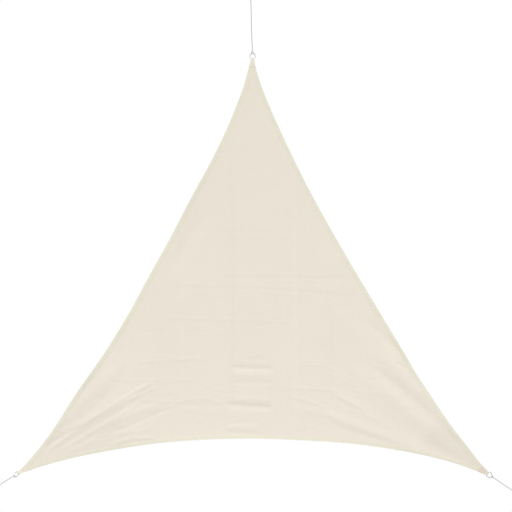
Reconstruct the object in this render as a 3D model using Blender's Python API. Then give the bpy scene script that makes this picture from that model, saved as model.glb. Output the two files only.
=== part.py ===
"""A triangular shade sail, hung upright and face on by three taut cords.

The sail is one cut of cream cloth with a turned hem. A webbing tab is folded round the straight
bar of a D-ring at each corner and sewn to both faces of the cloth. A cord is hitched to each ring
and ends, beyond the ring, in a knot and a loop that goes over a hook.

Units are metres. X runs across the sail, Z is up and the front face looks along -Y. The origin is
inside the bight of the top cord's loop, where the hook would bear.

Everything at a corner is laid out on that corner's pull line: u is measured outwards from the
middle of the ring, v across the line in the plane of the sail, and y towards the back.
"""

import math
from typing import NamedTuple

import bmesh
import bpy
import numpy as np
from mathutils import Vector

# ---------------------------------------------------------------- cloth
PANEL_THICKNESS = 0.0014
HEM_THICKNESS = 0.0030
HEM_STEP = 0.002  # the hem's inner fold slopes down to the panel over this width
PANEL_ROWS = 63  # rows of facets from the top corner to the bottom hem
ROWS_CROWDED_AT = 0.80  # share of the way down where the rows lie closest together
ROWS_CROWDING = 0.085  # how strongly the rows are drawn there

# ---------------------------------------------------------------- shape of the hung cloth
BELLY = 0.028  # the middle of the sail hangs this far back
BELLY_SPREAD = 0.8  # below 1, the belly reaches further out towards the edges
FOLD_FADE = 0.3  # share of a fold's length over which each of its ends runs out
TAUT_RADIUS = 0.11  # cloth this near a ring is pulled flat
SLACK_RADIUS = 0.34  # and from here on it has its full relief
ROLL_WIDTH = 0.075  # a hem that rolls takes this much cloth with it

# ---------------------------------------------------------------- webbing tabs
WEBBING = 0.0012
GAP = 0.00035  # kept between pieces that touch
TAB_SEWN = 0.036  # the tab's legs reach this far over the cloth
TAB_INSET = 0.001  # and lie this far inside the cloth's edges
TAB_SHOULDER = 0.0085  # from the ring's bar to where the tab has its own width
TAB_CLASP = 0.0068  # and from the bar to where its loop round the bar closes
TAB_COLUMNS = 4  # points across the tab's width

# ---------------------------------------------------------------- D-rings
RING_WIRE = 0.005
RING_WIDTH = 0.045  # outside, along the straight bar
RING_DEPTH = 0.043  # outside, from the bar to the top of the bow
RING_HEEL = 0.008  # bend radius where the bar turns into the sides

# ---------------------------------------------------------------- cords
CORD = 0.006
KNOT_LENGTH = 0.014
KNOT_WIDTH = 0.0146
KNOT_TURNS = 3
KNOT_BULGE = 0.14  # share of its radius that swells out with each turn
KNOT_SHOULDER = 0.32  # the nearer 0, the squarer the knot's two ends
KNOT_SIDES = 12
LOOP_LENGTH = 0.075  # from the end knot to the outside of the loop's bight
LOOP_WIDTH = 0.034
END_KNOT_PAST_VIEW = 0.027
CORD_STEP = 2.5 * CORD  # between the points of a cord's line
TURN_POINTS = 16  # along each turn of a hitch
LOOP_POINTS = 25  # along an end loop
TOP_CORD_SHOWN = 0.4215
TOP_PULL_DEG = 91.9
TOP_REACH = TOP_CORD_SHOWN + END_KNOT_PAST_VIEW + KNOT_LENGTH + LOOP_LENGTH - CORD


class Corner(NamedTuple):
    """Where a corner's ring sits, which way its cord pulls, and how its pieces are cut and tied.

    A pair of widths is measured from the pull line: the side at negative v first.
    """

    name: str
    ring: tuple  # middle of the ring, (x, z)
    pull_deg: float  # direction of the pull, from +X towards +Z
    turn_deg: float  # the ring is turned this far about the pull line
    tip_back: float  # from the ring's middle back to the cloth's cut end
    tip: tuple  # half widths of the cloth's cut end
    neck: tuple  # half widths of the tab where it leaves the ring
    loop: float  # half width of the tab round the ring's bar
    hitch_at: float  # from the ring's middle to the middle of the hitch's knot
    hitch_turns: tuple  # where the hitch's two turns lie, in degrees round the bow
    cord_shown: float  # from the ring's middle to where the cord leaves the picture
    wander: tuple  # how far the cord strays sideways at even steps along it


class Edge(NamedTuple):
    """One hem, from the end of one corner's tab to the next, and its inward curve."""

    start: str
    end: str
    hem: float
    insets: tuple  # inward distance from the straight line, in mm, one for each of STATIONS


class Fold(NamedTuple):
    """A soft ridge (height above 0, towards the front) or trough of the cloth."""

    path: tuple  # points along its crest, (x, z)
    width: float  # half its width, where it has fallen to about a third
    height: float


class Roll(NamedTuple):
    """A stretch of hem that turns towards the front (rise above 0) or the back."""

    edge: int
    at: float  # share of the way along the edge
    length: float
    rise: float


CORNERS = (
    Corner(
        "top",
        (
            -TOP_REACH * math.cos(math.radians(TOP_PULL_DEG)),
            -TOP_REACH * math.sin(math.radians(TOP_PULL_DEG)),
        ),
        TOP_PULL_DEG,
        turn_deg=0.0,
        tip_back=0.0484,
        tip=(0.0140, 0.0195),
        neck=(0.0148, 0.0155),
        loop=0.0080,
        hitch_at=0.0340,
        hitch_turns=(-42, 37),
        cord_shown=TOP_CORD_SHOWN,
        wander=(0.0, 0.0006, 0.0009, 0.0004, -0.0003, -0.0006, 0.0),
    ),
    Corner(
        "left",
        (-1.7653, -3.6877),
        212.0,
        turn_deg=-46.0,
        tip_back=0.0519,
        tip=(0.0140, 0.0145),
        neck=(0.0140, 0.0140),
        loop=0.0105,
        hitch_at=0.0290,
        hitch_turns=(-24, 26),
        cord_shown=0.143,
        wander=(0.0, -0.0005, -0.0008, -0.0004, 0.0),
    ),
    Corner(
        "right",
        (1.8050, -3.6921),
        -34.1,
        turn_deg=0.0,
        tip_back=0.0526,
        tip=(0.0205, 0.0220),
        neck=(0.0175, 0.0170),
        loop=0.0115,
        hitch_at=0.0310,
        hitch_turns=(-43, 34),
        cord_shown=0.204,
        wander=(0.0, 0.0004, 0.0007, 0.0005, 0.0),
    ),
)
CORNER = {corner.name: corner for corner in CORNERS}

STATIONS = (0.02, 0.05, 0.1, 0.2, 0.25, 0.3, 0.4, 0.5, 0.6, 0.7, 0.8, 0.9, 0.95, 0.98)
EDGES = (
    Edge("top", "left", 0.030, (18, 44, 72, 105, 111, 112, 123, 126, 131, 116, 83, 61, 37, 17)),
    Edge("left", "right", 0.024, (23, 57, 103, 173, 202, 224, 250, 258, 247, 226, 182, 114, 65, 28)),
    Edge("right", "top", 0.030, (16, 30, 57, 88, 99, 102, 110, 118, 121, 117, 98, 67, 43, 21)),
)
LEFT_HEM, BOTTOM_HEM, RIGHT_HEM = range(3)

FOLDS = (
    # short puckers across the lower middle, from the upper one down
    Fold(((-0.07, -2.821), (0.15, -2.825)), 0.018, -0.0020),
    Fold(((-0.17, -2.883), (0.20, -2.896)), 0.021, -0.0058),
    Fold(((-0.14, -2.934), (0.18, -2.941)), 0.026, 0.0035),
    Fold(((-0.18, -3.118), (0.18, -3.133)), 0.026, 0.0042),
    Fold(((-0.20, -3.167), (0.19, -3.190)), 0.021, -0.0072),
    Fold(((-0.20, -3.336), (0.09, -3.341)), 0.026, 0.0032),
    # folds that run up out of the left corner
    Fold(((-1.40, -3.235), (-1.13, -3.012), (-0.87, -2.764)), 0.050, 0.0068),
    Fold(((-1.57, -3.452), (-1.03, -3.178), (-0.72, -2.990)), 0.027, 0.0052),
    Fold(((-1.25, -3.390), (-0.92, -3.243), (-0.56, -3.122)), 0.025, 0.0040),
    Fold(((-1.44, -3.556), (-1.05, -3.375)), 0.022, 0.0034),
    # folds that run up out of the right corner
    Fold(((1.71, -3.565), (1.43, -3.216), (1.19, -2.982), (0.88, -2.673)), 0.040, 0.0062),
    Fold(((1.52, -3.392), (1.22, -3.118), (0.84, -2.809)), 0.032, -0.0062),
    Fold(((1.43, -3.405), (1.12, -3.141), (0.92, -2.952)), 0.034, 0.0056),
    Fold(((1.17, -2.809), (0.84, -2.493)), 0.030, -0.0044),
    Fold(((1.13, -3.435), (0.90, -3.360), (0.68, -3.279), (0.56, -3.228), (0.30, -3.185)), 0.030, 0.0050),
    Fold(((0.85, -3.186), (0.60, -3.050)), 0.024, 0.0022),
    # slack hollows under the side hems
    Fold(((-0.30, -1.62), (-0.62, -2.22)), 0.070, -0.0052),
    Fold(((0.36, -1.52), (0.70, -2.10)), 0.070, -0.0050),
    # the main packing creases, straight across
    Fold(((-0.77, -2.251), (0.10, -2.266), (0.86, -2.329)), 0.022, 0.0026),
    Fold(((-0.65, -2.530), (0.45, -2.567)), 0.022, -0.0024),
    Fold(((-0.85, -2.830), (-0.27, -2.822)), 0.022, 0.0026),
    Fold(((0.09, -3.035), (1.13, -3.111)), 0.024, -0.0026),
)

ROLLS = (
    Roll(LEFT_HEM, 0.13, 0.34, -0.004),
    Roll(LEFT_HEM, 0.30, 0.44, 0.006),
    Roll(LEFT_HEM, 0.41, 0.26, -0.004),
    Roll(LEFT_HEM, 0.63, 0.22, 0.006),
    Roll(LEFT_HEM, 0.77, 0.36, 0.011),
    Roll(BOTTOM_HEM, 0.20, 0.40, -0.004),
    Roll(BOTTOM_HEM, 0.47, 1.20, 0.006),
    Roll(BOTTOM_HEM, 0.80, 0.45, -0.005),
    Roll(RIGHT_HEM, 0.10, 0.20, 0.005),
    Roll(RIGHT_HEM, 0.31, 0.32, 0.010),
    Roll(RIGHT_HEM, 0.42, 0.18, 0.006),
    Roll(RIGHT_HEM, 0.68, 0.64, -0.006),
)

CREAM = (0.80, 0.74, 0.65)
TAN = (0.76, 0.70, 0.58)
STEEL = (0.62, 0.63, 0.65)
ROPE_GREY = (0.66, 0.66, 0.66)


# ---------------------------------------------------------------- small geometry helpers
def smooth_curve(knots, points, at):
    """Points of a smooth curve through the given points, at the wanted knot values."""
    knots, points, at = (np.asarray(x, float) for x in (knots, points, at))
    points = points.reshape(len(knots), -1)
    slopes = np.gradient(points, knots, axis=0)
    i = np.clip(np.searchsorted(knots, at, side="right") - 1, 0, len(knots) - 2)
    span = (knots[i + 1] - knots[i])[:, None]
    s = (at - knots[i])[:, None] / span
    return (
        (2 * s**3 - 3 * s**2 + 1) * points[i]
        + (s**3 - 2 * s**2 + s) * span * slopes[i]
        + (3 * s**2 - 2 * s**3) * points[i + 1]
        + (s**3 - s**2) * span * slopes[i + 1]
    )


def smooth_step(x):
    """0 below 0, 1 above 1, and a soft ramp between."""
    x = np.clip(x, 0, 1)
    return x * x * (3 - 2 * x)


def pull_axes(corner):
    """The corner's outward direction and the direction across it, both in (x, z)."""
    angle = math.radians(corner.pull_deg)
    u = np.array([math.cos(angle), math.sin(angle)])
    return u, np.array([-u[1], u[0]])


def placed(corner, points, turn_deg=0.0):
    """World points of (u, v, y) points of a corner, turned about its pull line."""
    u, v = pull_axes(corner)
    turn = math.radians(turn_deg)
    places = []
    for along, across, deep in points:
        side = across * math.cos(turn) - deep * math.sin(turn)
        flat = np.array(corner.ring) + along * u + side * v
        places.append(Vector((flat[0], across * math.sin(turn) + deep * math.cos(turn), flat[1])))
    return places


# ---------------------------------------------------------------- outline of the cloth
def tip_corner(corner, side):
    """One end of the cloth's cut tip; side is +1 or -1 across the pull line."""
    u, v = pull_axes(corner)
    half = corner.tip[0] if side < 0 else corner.tip[1]
    return np.array(corner.ring) - u * corner.tip_back + v * side * half


def edge_ends(edge):
    """The two points that the hem runs between, anticlockwise round the sail."""
    return tip_corner(CORNER[edge.start], 1), tip_corner(CORNER[edge.end], -1)


def edge_points(edge, share, inward=0.0):
    """Points of the sail's edge, or of a line that far inside it, at shares from 0 to 1."""
    share = np.atleast_1d(np.asarray(share, float))
    first, last = edge_ends(edge)
    along = last - first
    normal = np.array([-along[1], along[0]]) / np.linalg.norm(along)
    knots = (0.0, *STATIONS, 1.0)
    depth = np.array((0.0, *edge.insets, 0.0)) / 1000

    def line(t):
        return first + t[:, None] * along + smooth_curve(knots, depth, t) * normal

    points = line(share)
    if inward:
        step = 1e-4
        run = line(np.minimum(share + step, 1)) - line(np.maximum(share - step, 0))
        run /= np.linalg.norm(run, axis=1)[:, None]
        points = points + inward * np.stack([-run[:, 1], run[:, 0]], axis=1)
    return points


def hem_crossing(before, after):
    """Where the lines just inside two meeting hems cross: (share on before, on after, point)."""
    near = np.linspace(0, 0.12, 600)
    a = edge_points(before, 1 - near, before.hem + HEM_STEP)
    b = edge_points(after, near, after.hem + HEM_STEP)
    far = np.linalg.norm(a[:, None] - b[None], axis=2)
    i, j = np.unravel_index(far.argmin(), far.shape)
    return 1 - near[i], near[j], (a[i] + b[j]) / 2


# ---------------------------------------------------------------- relief of the cloth
def nearest_on_line(points, line):
    """For each point, its distance from a line of points and the share of the way along it."""
    best = np.full(len(points), np.inf)
    share = np.zeros(len(points))
    steps = np.linalg.norm(np.diff(line, axis=0), axis=1)
    done = np.concatenate([[0], np.cumsum(steps)])
    for k, step in enumerate(steps):
        run = (line[k + 1] - line[k]) / step
        along = np.clip((points - line[k]) @ run, 0, step)
        far = np.linalg.norm(points - line[k] - along[:, None] * run, axis=1)
        closer = far < best
        best[closer] = far[closer]
        share[closer] = (done[k] + along[closer]) / done[-1]
    return best, share


def fold_relief(points, fold):
    """How far one fold lifts each point towards the front."""
    knots = np.arange(len(fold.path))
    line = smooth_curve(knots, fold.path, np.linspace(0, knots[-1], 4 * knots[-1] + 1))
    far, share = nearest_on_line(points, line)
    fade = smooth_step(np.minimum(share, 1 - share) / FOLD_FADE)
    return fold.height * fade * np.exp(-((far / fold.width) ** 2))


def roll_relief(points):
    """How far the rolled stretches of the hems lift each point towards the front."""
    lift = np.zeros(len(points))
    for number, edge in enumerate(EDGES):
        line = edge_points(edge, np.linspace(0, 1, 121))
        length = np.linalg.norm(np.diff(line, axis=0), axis=1).sum()
        far, share = nearest_on_line(points, line)
        inward = np.clip(1 - far / ROLL_WIDTH, 0, 1) ** 2
        for roll in (r for r in ROLLS if r.edge == number):
            away = (share - roll.at) * length / (roll.length / 2)
            lift += roll.rise * inward * np.exp(-(away**2))
    return lift


def cloth_depth(points):
    """The y of the cloth's middle surface at each (x, z) point; the front is at lower y."""
    rings = [np.array(corner.ring) for corner in CORNERS]
    top, left, right = rings
    matrix = np.array([[*ring, 1.0] for ring in rings]).T
    shares = np.linalg.solve(matrix, np.vstack([points.T, np.ones(len(points))]))
    middling = np.clip(shares.prod(axis=0) * 3**3, 0, 1)  # 1 in the middle, 0 along the edges
    belly = BELLY * middling**BELLY_SPREAD
    lift = roll_relief(points) + sum(fold_relief(points, fold) for fold in FOLDS)
    nearest = np.min([np.linalg.norm(points - ring, axis=1) for ring in (top, left, right)], axis=0)
    loose = smooth_step((nearest - TAUT_RADIUS) / (SLACK_RADIUS - TAUT_RADIUS))
    return loose * (belly - lift)


# ---------------------------------------------------------------- the cloth's facets
class Layout:
    """The cloth seen flat: points, the thickness at each, triangles and the outer loop."""

    def __init__(self):
        self.points = []
        self.thickness = []
        self.triangles = []
        self.rim = []

    def add(self, points, thickness):
        """Add points of one thickness; returns their numbers."""
        first = len(self.points)
        self.points.extend(np.atleast_2d(points))
        self.thickness.extend([thickness] * (len(self.points) - first))
        return list(range(first, len(self.points)))

    def strip(self, a, b):
        """Two triangles between each pair of neighbours of two rows of equal length."""
        for k in range(len(a) - 1):
            self.triangles += [(a[k], a[k + 1], b[k + 1]), (a[k], b[k + 1], b[k])]


def crowded(share):
    """Rows of facets, drawn towards the height where the short puckers lie."""
    wave = math.pi / max(ROWS_CROWDED_AT, 1 - ROWS_CROWDED_AT)
    pull = np.sin(np.clip((share - ROWS_CROWDED_AT) * wave, -math.pi, math.pi))
    fade = smooth_step(np.minimum(share, 1 - share) / 0.2)
    return share - ROWS_CROWDING * fade * pull


def lay_out_cloth():
    """The whole cloth as facets: the panel's lattice, the hem's step, the hem and the tips."""
    layout = Layout()
    corners = [hem_crossing(EDGES[k - 1], EDGES[k]) for k in range(3)]  # top, left, right
    inner = [c[2] for c in corners]
    spans = [(corners[k][1], corners[(k + 1) % 3][0]) for k in range(3)]

    def bow(number, share):
        """How far the panel's border strays from the straight line between its corners."""
        edge, (begin, finish) = EDGES[number], spans[number]
        line = edge_points(edge, begin + share * (finish - begin), edge.hem + HEM_STEP)
        a, b = inner[number], inner[(number + 1) % 3]
        return line - (a + share[:, None] * (b - a))

    rows = crowded(np.linspace(0, 1, PANEL_ROWS + 1))
    shares = []
    for row, down in enumerate(rows):
        across = np.linspace(0, 1, row + 1) if row else np.array([0.0])
        shares += [(1 - down, down * (1 - s), down * s) for s in across]
    shares = np.array(shares)
    flat = shares @ np.array(inner)
    for number in range(3):
        start, end = shares[:, number], shares[:, (number + 1) % 3]
        weight = start + end
        along = np.where(weight > 1e-9, end / np.maximum(weight, 1e-9), 0.0)
        flat += weight[:, None] * bow(number, along)
    for number in range(3):
        flat[np.isclose(shares[:, number], 1)] = inner[number]
    panel = layout.add(flat, PANEL_THICKNESS)

    def lattice(row, column):
        return panel[row * (row + 1) // 2 + column]

    for row in range(PANEL_ROWS):
        for column in range(row + 1):
            apex = lattice(row, column)
            below = lattice(row + 1, column)
            layout.triangles.append((apex, below, lattice(row + 1, column + 1)))
            if column < row:
                beside = lattice(row, column + 1)
                layout.triangles.append((apex, lattice(row + 1, column + 1), beside))

    count = PANEL_ROWS
    borders = (
        [lattice(row, 0) for row in range(count + 1)],
        [lattice(count, column) for column in range(count + 1)],
        [lattice(row, row) for row in range(count, -1, -1)],
    )
    steps = (rows, np.linspace(0, 1, count + 1), 1 - rows[::-1])
    hems, outers, tips = [], [], []
    for number, edge in enumerate(EDGES):
        begin, finish = spans[number]
        share = begin + steps[number] * (finish - begin)
        hems.append(layout.add(edge_points(edge, share, edge.hem), HEM_THICKNESS))
        outers.append(layout.add(edge_points(edge, share), HEM_THICKNESS))
        tips.append(layout.add(np.array(edge_ends(edge)), HEM_THICKNESS))
        layout.strip(hems[-1], borders[number])
        layout.strip(outers[-1], hems[-1])
        layout.rim += [tips[-1][0], *outers[-1], tips[-1][1]]
        layout.triangles.append((tips[-1][0], outers[-1][0], hems[-1][0]))
        layout.triangles.append((outers[-1][-1], tips[-1][1], hems[-1][-1]))
    for number in range(3):
        before_tip, after_tip = tips[number - 1][1], tips[number][0]
        before_hem, after_hem = hems[number - 1][-1], hems[number][0]
        layout.triangles.append((before_hem, after_hem, borders[number][0]))
        layout.triangles.append((before_tip, after_tip, after_hem))
        layout.triangles.append((before_tip, after_hem, before_hem))
    return layout


# ---------------------------------------------------------------- making objects
def finish(name, colour, roughness, metallic):
    """A plain finish for one piece."""
    material = bpy.data.materials.new(name)
    material.use_nodes = True
    shader = material.node_tree.nodes["Principled BSDF"]
    shader.inputs["Base Color"].default_value = (*colour, 1)
    shader.inputs["Roughness"].default_value = roughness
    shader.inputs["Metallic"].default_value = metallic
    return material


def shown(name, data, material, sail):
    """An object in the scene, under the sail's empty."""
    piece = bpy.data.objects.new(name, data)
    data.materials.append(material)
    piece.parent = sail
    bpy.context.scene.collection.objects.link(piece)
    return piece


def closed_mesh(name, bm):
    """A mesh from a bmesh whose faces are turned outwards."""
    bmesh.ops.recalc_face_normals(bm, faces=bm.faces)
    mesh = bpy.data.meshes.new(name)
    bm.to_mesh(mesh)
    bm.free()
    return mesh


def make_cloth(sail):
    """The cloth and its hem: a thin closed sheet that follows the hung relief."""
    layout = lay_out_cloth()
    flat = np.array(layout.points)
    middle = cloth_depth(flat)
    half = np.array(layout.thickness) / 2
    bm = bmesh.new()
    front = [bm.verts.new((x, y - h, z)) for (x, z), y, h in zip(flat, middle, half)]
    back = [bm.verts.new((x, y + h, z)) for (x, z), y, h in zip(flat, middle, half)]
    for a, b, c in layout.triangles:
        bm.faces.new((front[a], front[b], front[c]))
        bm.faces.new((back[a], back[c], back[b]))
    for a, b in zip(layout.rim, layout.rim[1:] + layout.rim[:1]):
        bm.faces.new((front[b], front[a], back[a], back[b]))
    mesh = closed_mesh("sail_cloth", bm)
    mesh.shade_smooth()
    mesh.set_sharp_from_angle(angle=math.radians(40))
    return shown("sail_cloth", mesh, finish("cream cloth", CREAM, 0.85, 0.0), sail)


def cloth_half_widths(corner, back):
    """Half widths of the cloth at distances back from the ring: negative v, then positive v."""
    u, v = pull_axes(corner)
    number = CORNERS.index(corner)
    widths = []
    for edge, shares in (
        (EDGES[number - 1], 1 - np.linspace(0, 0.04, 41)),
        (EDGES[number], np.linspace(0, 0.04, 41)),
    ):
        away = edge_points(edge, shares) - np.array(corner.ring)
        widths.append(np.interp(back, -(away @ u), abs(away @ v)))
    return np.array(widths).T


def tab_stations(corner):
    """The webbing from its front end, round the ring's bar, to its back end.

    Each station is the middle of a cross-section in (u, y), its normal, half widths and turn.
    """
    bar = (RING_DEPTH - RING_WIRE) / 2
    flat = HEM_THICKNESS / 2 + GAP + WEBBING / 2
    round_bar = RING_WIRE / 2 + GAP + WEBBING / 2
    shoulder = bar + TAB_SHOULDER
    sewn = corner.tip_back + TAB_SEWN * np.array([1, 2 / 3, 1 / 3, 0])
    free = np.linspace(corner.tip_back, shoulder, 5)[1:]
    spread = (free - shoulder)[:, None] / (corner.tip_back - shoulder)
    tip, neck = np.array(corner.tip) - TAB_INSET, np.array(corner.neck)
    widths = [*(cloth_half_widths(corner, sewn) - TAB_INSET), *(neck + spread * (tip - neck))]
    turns = [*(0 * sewn), *(corner.turn_deg * smooth_step(1 - spread[:, 0]))]
    widths.append((corner.loop, corner.loop))
    turns.append(corner.turn_deg)
    leg = list(zip([*sewn, *free, bar + TAB_CLASP], widths, turns))
    stations = [((-away, -flat), (0, -1), half, turn) for away, half, turn in leg]
    for angle in np.radians(np.linspace(-90, 90, 9)):
        normal = (math.cos(angle), math.sin(angle))
        place = (-bar + round_bar * normal[0], round_bar * normal[1])
        stations.append((place, normal, (corner.loop, corner.loop), corner.turn_deg))
    stations += [((-away, flat), (0, 1), half, turn) for away, half, turn in reversed(leg)]
    return stations


def make_tab(corner, sail):
    """Webbing folded round the ring's bar, its two legs on the cloth's two faces."""
    bm = bmesh.new()
    rings = []
    for (u, y), (nu, ny), half, turn in tab_stations(corner):
        across = np.linspace(-half[0], half[1], TAB_COLUMNS)
        faces = [(v, -WEBBING / 2) for v in across] + [(v, WEBBING / 2) for v in across[::-1]]
        section = [(u + out * nu, v, y + out * ny) for v, out in faces]
        rings.append([bm.verts.new(p) for p in placed(corner, section, turn)])
    count = 2 * TAB_COLUMNS
    for a, b in zip(rings, rings[1:]):
        for k in range(count):
            bm.faces.new((a[k], a[(k + 1) % count], b[(k + 1) % count], b[k]))
    bm.faces.new(rings[0])
    bm.faces.new(rings[-1])
    name = f"corner_tab_{corner.name}"
    mesh = closed_mesh(name, bm)
    mesh.shade_smooth()
    mesh.set_sharp_from_angle(angle=math.radians(50))
    return shown(name, mesh, finish(f"{name} webbing", TAN, 0.8, 0.0), sail)


def ring_line():
    """The middle of the D-ring's wire, as (u, v) points round it."""
    side = (RING_WIDTH - RING_WIRE) / 2
    bar = -(RING_DEPTH - RING_WIRE) / 2
    bow = -bar - side  # middle of the bow's half circle
    heel = side - RING_HEEL
    points = []
    for angle in np.radians(np.linspace(-90, 90, 17)):
        points.append((bow + side * math.cos(angle), side * math.sin(angle)))
    for turn, v in ((90, heel), (180, -heel)):
        for angle in np.radians(np.linspace(turn, turn + 90, 5)):
            points.append((bar + RING_HEEL * (1 + math.cos(angle)), v + RING_HEEL * math.sin(angle)))
    return points


def tube(name, points, width, sides_level, cyclic=False):
    """A round wire or cord along points, as a curve with a bevel."""
    curve = bpy.data.curves.new(name, "CURVE")
    curve.dimensions = "3D"
    curve.bevel_depth = width / 2
    curve.bevel_resolution = sides_level
    curve.use_fill_caps = not cyclic
    spline = curve.splines.new("POLY")
    spline.points.add(len(points) - 1)
    for knot, point in zip(spline.points, points):
        knot.co = (*point, 1)
    spline.use_cyclic_u = cyclic
    return curve


def make_ring(corner, sail):
    """The D-ring, its straight bar inside the tab and its bow towards the cord."""
    name = f"ring_{corner.name}"
    points = placed(corner, [(u, v, 0.0) for u, v in ring_line()], corner.turn_deg)
    curve = tube(name, points, RING_WIRE, 2, cyclic=True)
    return shown(name, curve, finish(f"{name} steel", STEEL, 0.3, 1.0), sail)


def knot_mesh(corner, middle):
    """A wrapped knot round the pull line: a turned body with a bulge for each turn."""
    rings = 4 * KNOT_TURNS
    bm = bmesh.new()
    loops = []
    for k in range(1, rings):
        share = k / rings
        bulge = 1 - KNOT_BULGE * (1 - abs(math.sin(math.pi * KNOT_TURNS * share)))
        radius = KNOT_WIDTH / 2 * bulge * math.sin(math.pi * share) ** KNOT_SHOULDER
        u = middle + KNOT_LENGTH * (share - 0.5)
        circle = [
            (u, radius * math.cos(a), radius * math.sin(a))
            for a in np.linspace(0, 2 * math.pi, KNOT_SIDES, endpoint=False)
        ]
        loops.append([bm.verts.new(p) for p in placed(corner, circle)])
    for a, b in zip(loops, loops[1:]):
        for k in range(KNOT_SIDES):
            after = (k + 1) % KNOT_SIDES
            bm.faces.new((a[k], a[after], b[after], b[k]))
    for end, loop in ((-0.5, loops[0]), (0.5, loops[-1])):
        (place,) = placed(corner, [(middle + end * KNOT_LENGTH, 0, 0)])
        pole = bm.verts.new(place)
        for k in range(KNOT_SIDES):
            bm.faces.new((pole, loop[k], loop[(k + 1) % KNOT_SIDES]))
    return closed_mesh(f"knot_{corner.name}", bm)


def tied(name, corner, strands, knot_middle, turn_deg, sail):
    """Turns of cord and the knot that closes them, joined into one solid."""
    guides = []
    for route in strands:
        curve = tube(f"{name}_strand", placed(corner, route, turn_deg), CORD, 2)
        strand = bpy.data.objects.new(f"{name}_strand", curve)
        bpy.context.scene.collection.objects.link(strand)
        depsgraph = bpy.context.evaluated_depsgraph_get()
        mesh = bpy.data.meshes.new_from_object(strand.evaluated_get(depsgraph))
        bpy.data.objects.remove(strand)
        guides.append(bpy.data.objects.new(f"{name}_part", mesh))
    guides.append(bpy.data.objects.new(f"{name}_knot", knot_mesh(corner, knot_middle)))
    piece = shown(name, guides.pop(0).data, finish(f"{name} cord", ROPE_GREY, 0.7, 0.0), sail)
    for guide in guides:
        bpy.context.scene.collection.objects.link(guide)
        guide.hide_render = True
        guide.display_type = "WIRE"
        guide.parent = sail
        union = piece.modifiers.new(guide.name, "BOOLEAN")
        union.operation = "UNION"
        union.object = guide
    return piece


def make_hitch(corner, sail):
    """The cord's hitch: two turns that pass in through the ring and round its bow, and a knot."""
    side = (RING_WIDTH - RING_WIRE) / 2
    bow = (RING_DEPTH - RING_WIRE) / 2 - side
    clear = (RING_WIRE + CORD) / 2 + 2 * GAP
    heel = corner.hitch_at - KNOT_LENGTH / 2
    strands = []
    for bow_deg in corner.hitch_turns:
        bow_angle = math.radians(bow_deg)
        hand = math.copysign(1, bow_deg)
        turn = []
        for wire_angle in np.radians((-98, -60, -20, 20, 60, 98)):  # round the wire from the front
            radius = side - clear * math.cos(wire_angle)
            place = (bow + radius * math.cos(bow_angle), radius * math.sin(bow_angle))
            turn.append((*place, clear * math.sin(wire_angle)))
        foot = (  # from inside the knot down towards the bow
            (heel + 0.0050, 0.0022 * hand, 0.0018),
            (heel + 0.0010, 0.0042 * hand, 0.0042),
            (heel - 0.0045, 0.0074 * hand, 0.0062),
        )
        front = [(u, v, -y) for u, v, y in foot]
        route = [*front, *turn, *foot[::-1]]
        knots = np.arange(len(route))
        strands.append(smooth_curve(knots, route, np.linspace(0, knots[-1], TURN_POINTS)))
    name = f"cord_{corner.name}_hitch"
    return tied(name, corner, strands, corner.hitch_at, corner.turn_deg, sail)


def end_knot_at(corner):
    """From the ring's middle to the middle of the knot at the cord's far end."""
    return corner.cord_shown + END_KNOT_PAST_VIEW + KNOT_LENGTH / 2


def bight_at(corner):
    """From the ring's middle to the inside of the end loop's bight, where the hook bears."""
    return end_knot_at(corner) + KNOT_LENGTH / 2 + LOOP_LENGTH - CORD


def make_end_loop(corner, sail):
    """The knot and loop at the cord's far end, which goes over the hook."""
    start = end_knot_at(corner) + KNOT_LENGTH / 2
    half = (LOOP_WIDTH - CORD) / 2
    shoulder = start + LOOP_LENGTH - CORD / 2 - half
    leg = [
        (start - 0.0055, 0.0032, 0.0),
        (start + 0.0020, 0.0036, 0.0),
        (start + 0.0140, 0.0068, 0.0),
        (start + 0.0300, 0.0112, 0.0),
    ]
    bight = [
        (shoulder + half * math.sin(a), half * math.cos(a), 0.0)
        for a in np.linspace(-0.15, math.pi + 0.15, 9)
    ]
    route = [*leg, *bight, *[(u, -v, y) for u, v, y in reversed(leg)]]
    knots = np.arange(len(route))
    strand = smooth_curve(knots, route, np.linspace(0, knots[-1], LOOP_POINTS))
    return tied(f"cord_{corner.name}_end", corner, [strand], end_knot_at(corner), 0.0, sail)


def make_cord(corner, sail):
    """The taut cord between its two knots."""
    begin = corner.hitch_at + KNOT_LENGTH / 2 + GAP
    finish_at = end_knot_at(corner) - KNOT_LENGTH / 2 - GAP
    knots = np.linspace(begin, finish_at, len(corner.wander))
    route = [(u, v, 0.0) for u, v in zip(knots, corner.wander)]
    count = max(2, round((finish_at - begin) / CORD_STEP)) + 1
    line = smooth_curve(knots, route, np.linspace(begin, finish_at, count))
    name = f"cord_{corner.name}"
    curve = tube(name, placed(corner, [tuple(p) for p in line]), CORD, 2)
    return shown(name, curve, finish(f"{name} cord", ROPE_GREY, 0.7, 0.0), sail)


def main():
    """Build the whole sail."""
    for old in list(bpy.data.objects):
        bpy.data.objects.remove(old)
    sail = bpy.data.objects.new("shade_sail", None)
    bpy.context.scene.collection.objects.link(sail)
    make_cloth(sail)
    for corner in CORNERS:
        make_tab(corner, sail)
        make_ring(corner, sail)
        make_hitch(corner, sail)
        make_cord(corner, sail)
        make_end_loop(corner, sail)


main()
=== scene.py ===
"""Looks of a triangular shade sail, hung upright and face on by three taut cords.

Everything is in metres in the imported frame: X runs across the sail, Z is up, the front face looks
along -Y and the origin is inside the loop at the top cord's end. At a corner, u runs outwards along
the pull from the middle of the ring, v runs across it in the plane of the sail, and y to the back.
"""

import logging
import math
from dataclasses import dataclass
from enum import Enum

import bmesh
import bpy
import numpy as np
from mathutils import Matrix, Vector
from mathutils.bvhtree import BVHTree


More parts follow.
